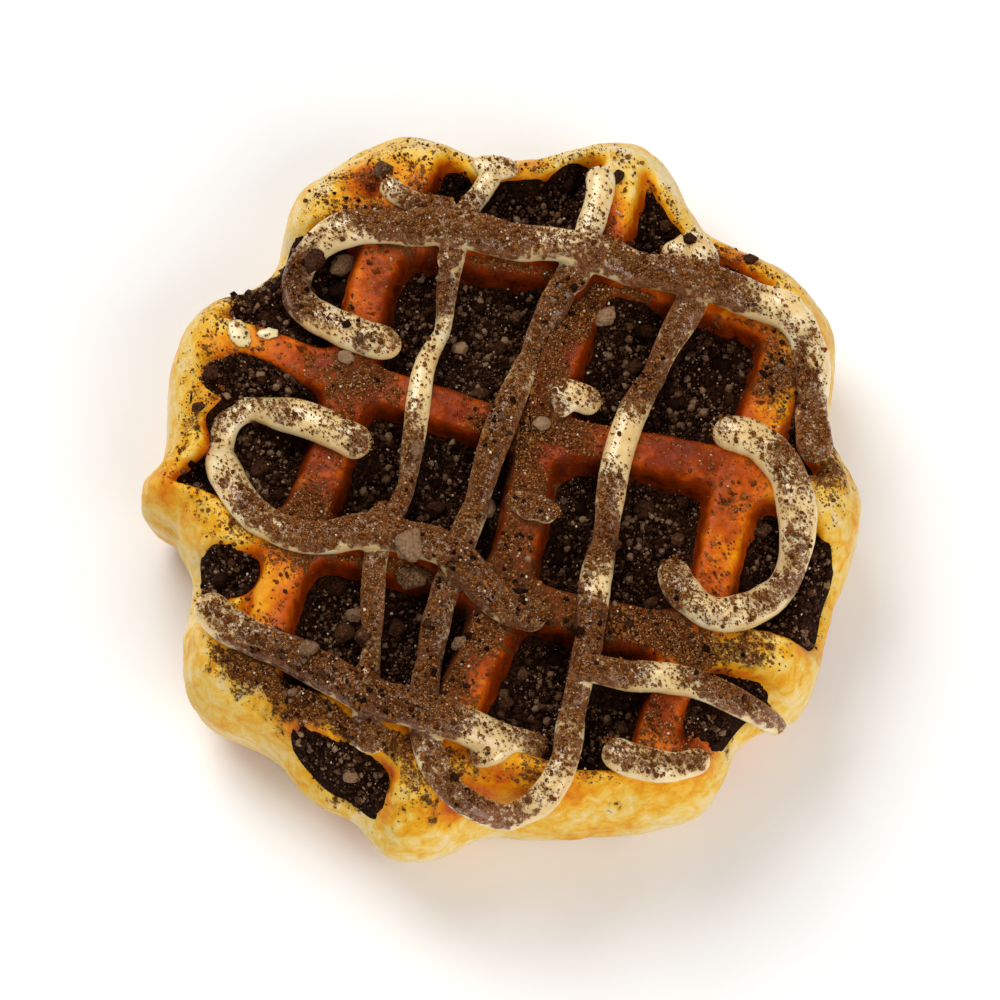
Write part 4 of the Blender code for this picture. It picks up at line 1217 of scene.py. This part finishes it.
def bed_crumb_and_shade():
    """The heap under the grains: dark cookie in small lumps, told apart by noise alone; its near-black
    colours are partly painted shade in the pockets.
    """
    material, tree, shader = new_finish("cookie_heap_and_shade", roughness=0.85, IOR=1.45, Specular_IOR_Level=0.06)
    place = object_place(tree)
    lumps = add_node(tree, "ShaderNodeTexVoronoi", {"Vector": place, "Scale": 1 / (0.75 * MM)})
    mottle = noise(tree, place, 0.5 * MM, detail=4, roughness=0.7)
    colour = ramp(tree, mottle, ((0.3, "#0D0400"), (0.52, "#200D04"), (0.72, "#4C2C16")))
    tree.links.new(colour, shader.inputs["Base Color"])
    raise_skin(tree, shader, lumps.outputs["Distance"], strength=0.9, distance=-0.35 * MM)
    return material


# %% Put the finishes on
cocoa_and_shade = cocoa_cookie("cocoa_cookie", COCOA_AND_POCKET_SHADE, roughness=0.75)
powdery_and_light = cocoa_cookie("cocoa_powder", COCOA_POWDER_AND_TOP_LIGHT, roughness=0.8)
WORN_BY = (
    (baked_dough(), (crust,)), (cream_sauce(), (cream,)), (bed_crumb_and_shade(), (bed,)), (sugar_crystal_and_glint(), (sugar_and_glints,)),
    (cocoa_and_shade, (fines, grains, bits, chunks)), (powdery_and_light, (powder, dust, flakes)),
)
for finish, members in WORN_BY:
    for piece in members:
        piece.data.materials.clear()
        piece.data.materials.append(finish)

# %% [markdown]
# ## Tie the pieces to the model
#
# The solid model stays hidden inside for weight and contact. All pieces ride on
# its one body, and together they stand for its one solid.

# %% Ride and replace
SLOTS = {"baked_dough": (crust,), "cream_sauce": (cream,),
         "cookie_crumb": (bed, fines, grains, bits, chunks, powder, dust, flakes, sugar_and_glints)}
for slot_name, members in SLOTS.items():
    for piece in members:
        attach(piece, BODY)
        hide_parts("waffle")

# %% [markdown]
# ## Table, light and camera
#
# The waffle lies on a plain white table under a large soft lamp from behind on the
# left, with a weaker one from the front on the right. The camera looks down from 68
# degrees above the table, far away with a long lens, so that the near and far edges
# of the waffle are drawn at nearly the same scale.

# %% The table
FLOOR_SIDE = 2.4
floor_mesh = bpy.data.meshes.new("table_top")
half = FLOOR_SIDE / 2
corners = [(-half, -half, 0), (half, -half, 0), (half, half, 0), (-half, half, 0)]
floor_mesh.from_pydata(corners, [], [(0, 1, 2, 3)])
floor = add_object("table_top", floor_mesh)
floor_finish, _, _ = new_finish("matt_white_board", roughness=0.9, IOR=1.45, Base_Color=linear("#FBFBFB"))
floor_mesh.materials.append(floor_finish)


# %% The lamps
def soft_lamp(name, place, side, power):
    """A square white area lamp that points at the waffle, with its side in metres and power in watts."""
    lamp = bpy.data.lights.new(name, "AREA")
    lamp.size = side
    lamp.energy = power
    holder = add_object(name, lamp)
    holder.location = place
    holder.rotation_euler = (-Vector(place)).to_track_quat("-Z", "Y").to_euler()


soft_lamp("window", (-0.35, 0.45, 0.75), side=0.6, power=6.6)
soft_lamp("bounce", (0.45, -0.55, 0.6), side=0.7, power=5.2)
world = bpy.data.worlds.new("soft_room")
world.use_nodes = True
background = world.node_tree.nodes["Background"]
background.inputs["Color"].default_value = (1, 1, 1, 1)
background.inputs["Strength"].default_value = 0.28
bpy.context.scene.world = world
bpy.context.scene.view_settings.view_transform = "Standard"

# %% The camera
IMAGE_WIDTH = 1000
PIXELS_PER_MM = 7.34     # at the middle of the waffle
CAMERA_DISTANCE = 700
CAMERA_ELEVATION = math.radians(68)
SENSOR = 36
aim = Vector((-0.2, -1.4, MID_HEIGHT)) * MM
backwards = Vector((0, -math.cos(CAMERA_ELEVATION), math.sin(CAMERA_ELEVATION)))
camera_data = bpy.data.cameras.new("camera")
camera_data.sensor_width = SENSOR
camera_data.lens = SENSOR * PIXELS_PER_MM * CAMERA_DISTANCE / IMAGE_WIDTH
camera_data.clip_start = 0.01
camera = add_object("camera", camera_data)
camera.location = aim + backwards * CAMERA_DISTANCE * MM
camera.rotation_euler = (-backwards).to_track_quat("-Z", "Y").to_euler()
bpy.context.scene.camera = camera
print("lens", round(camera_data.lens, 1), "mm")
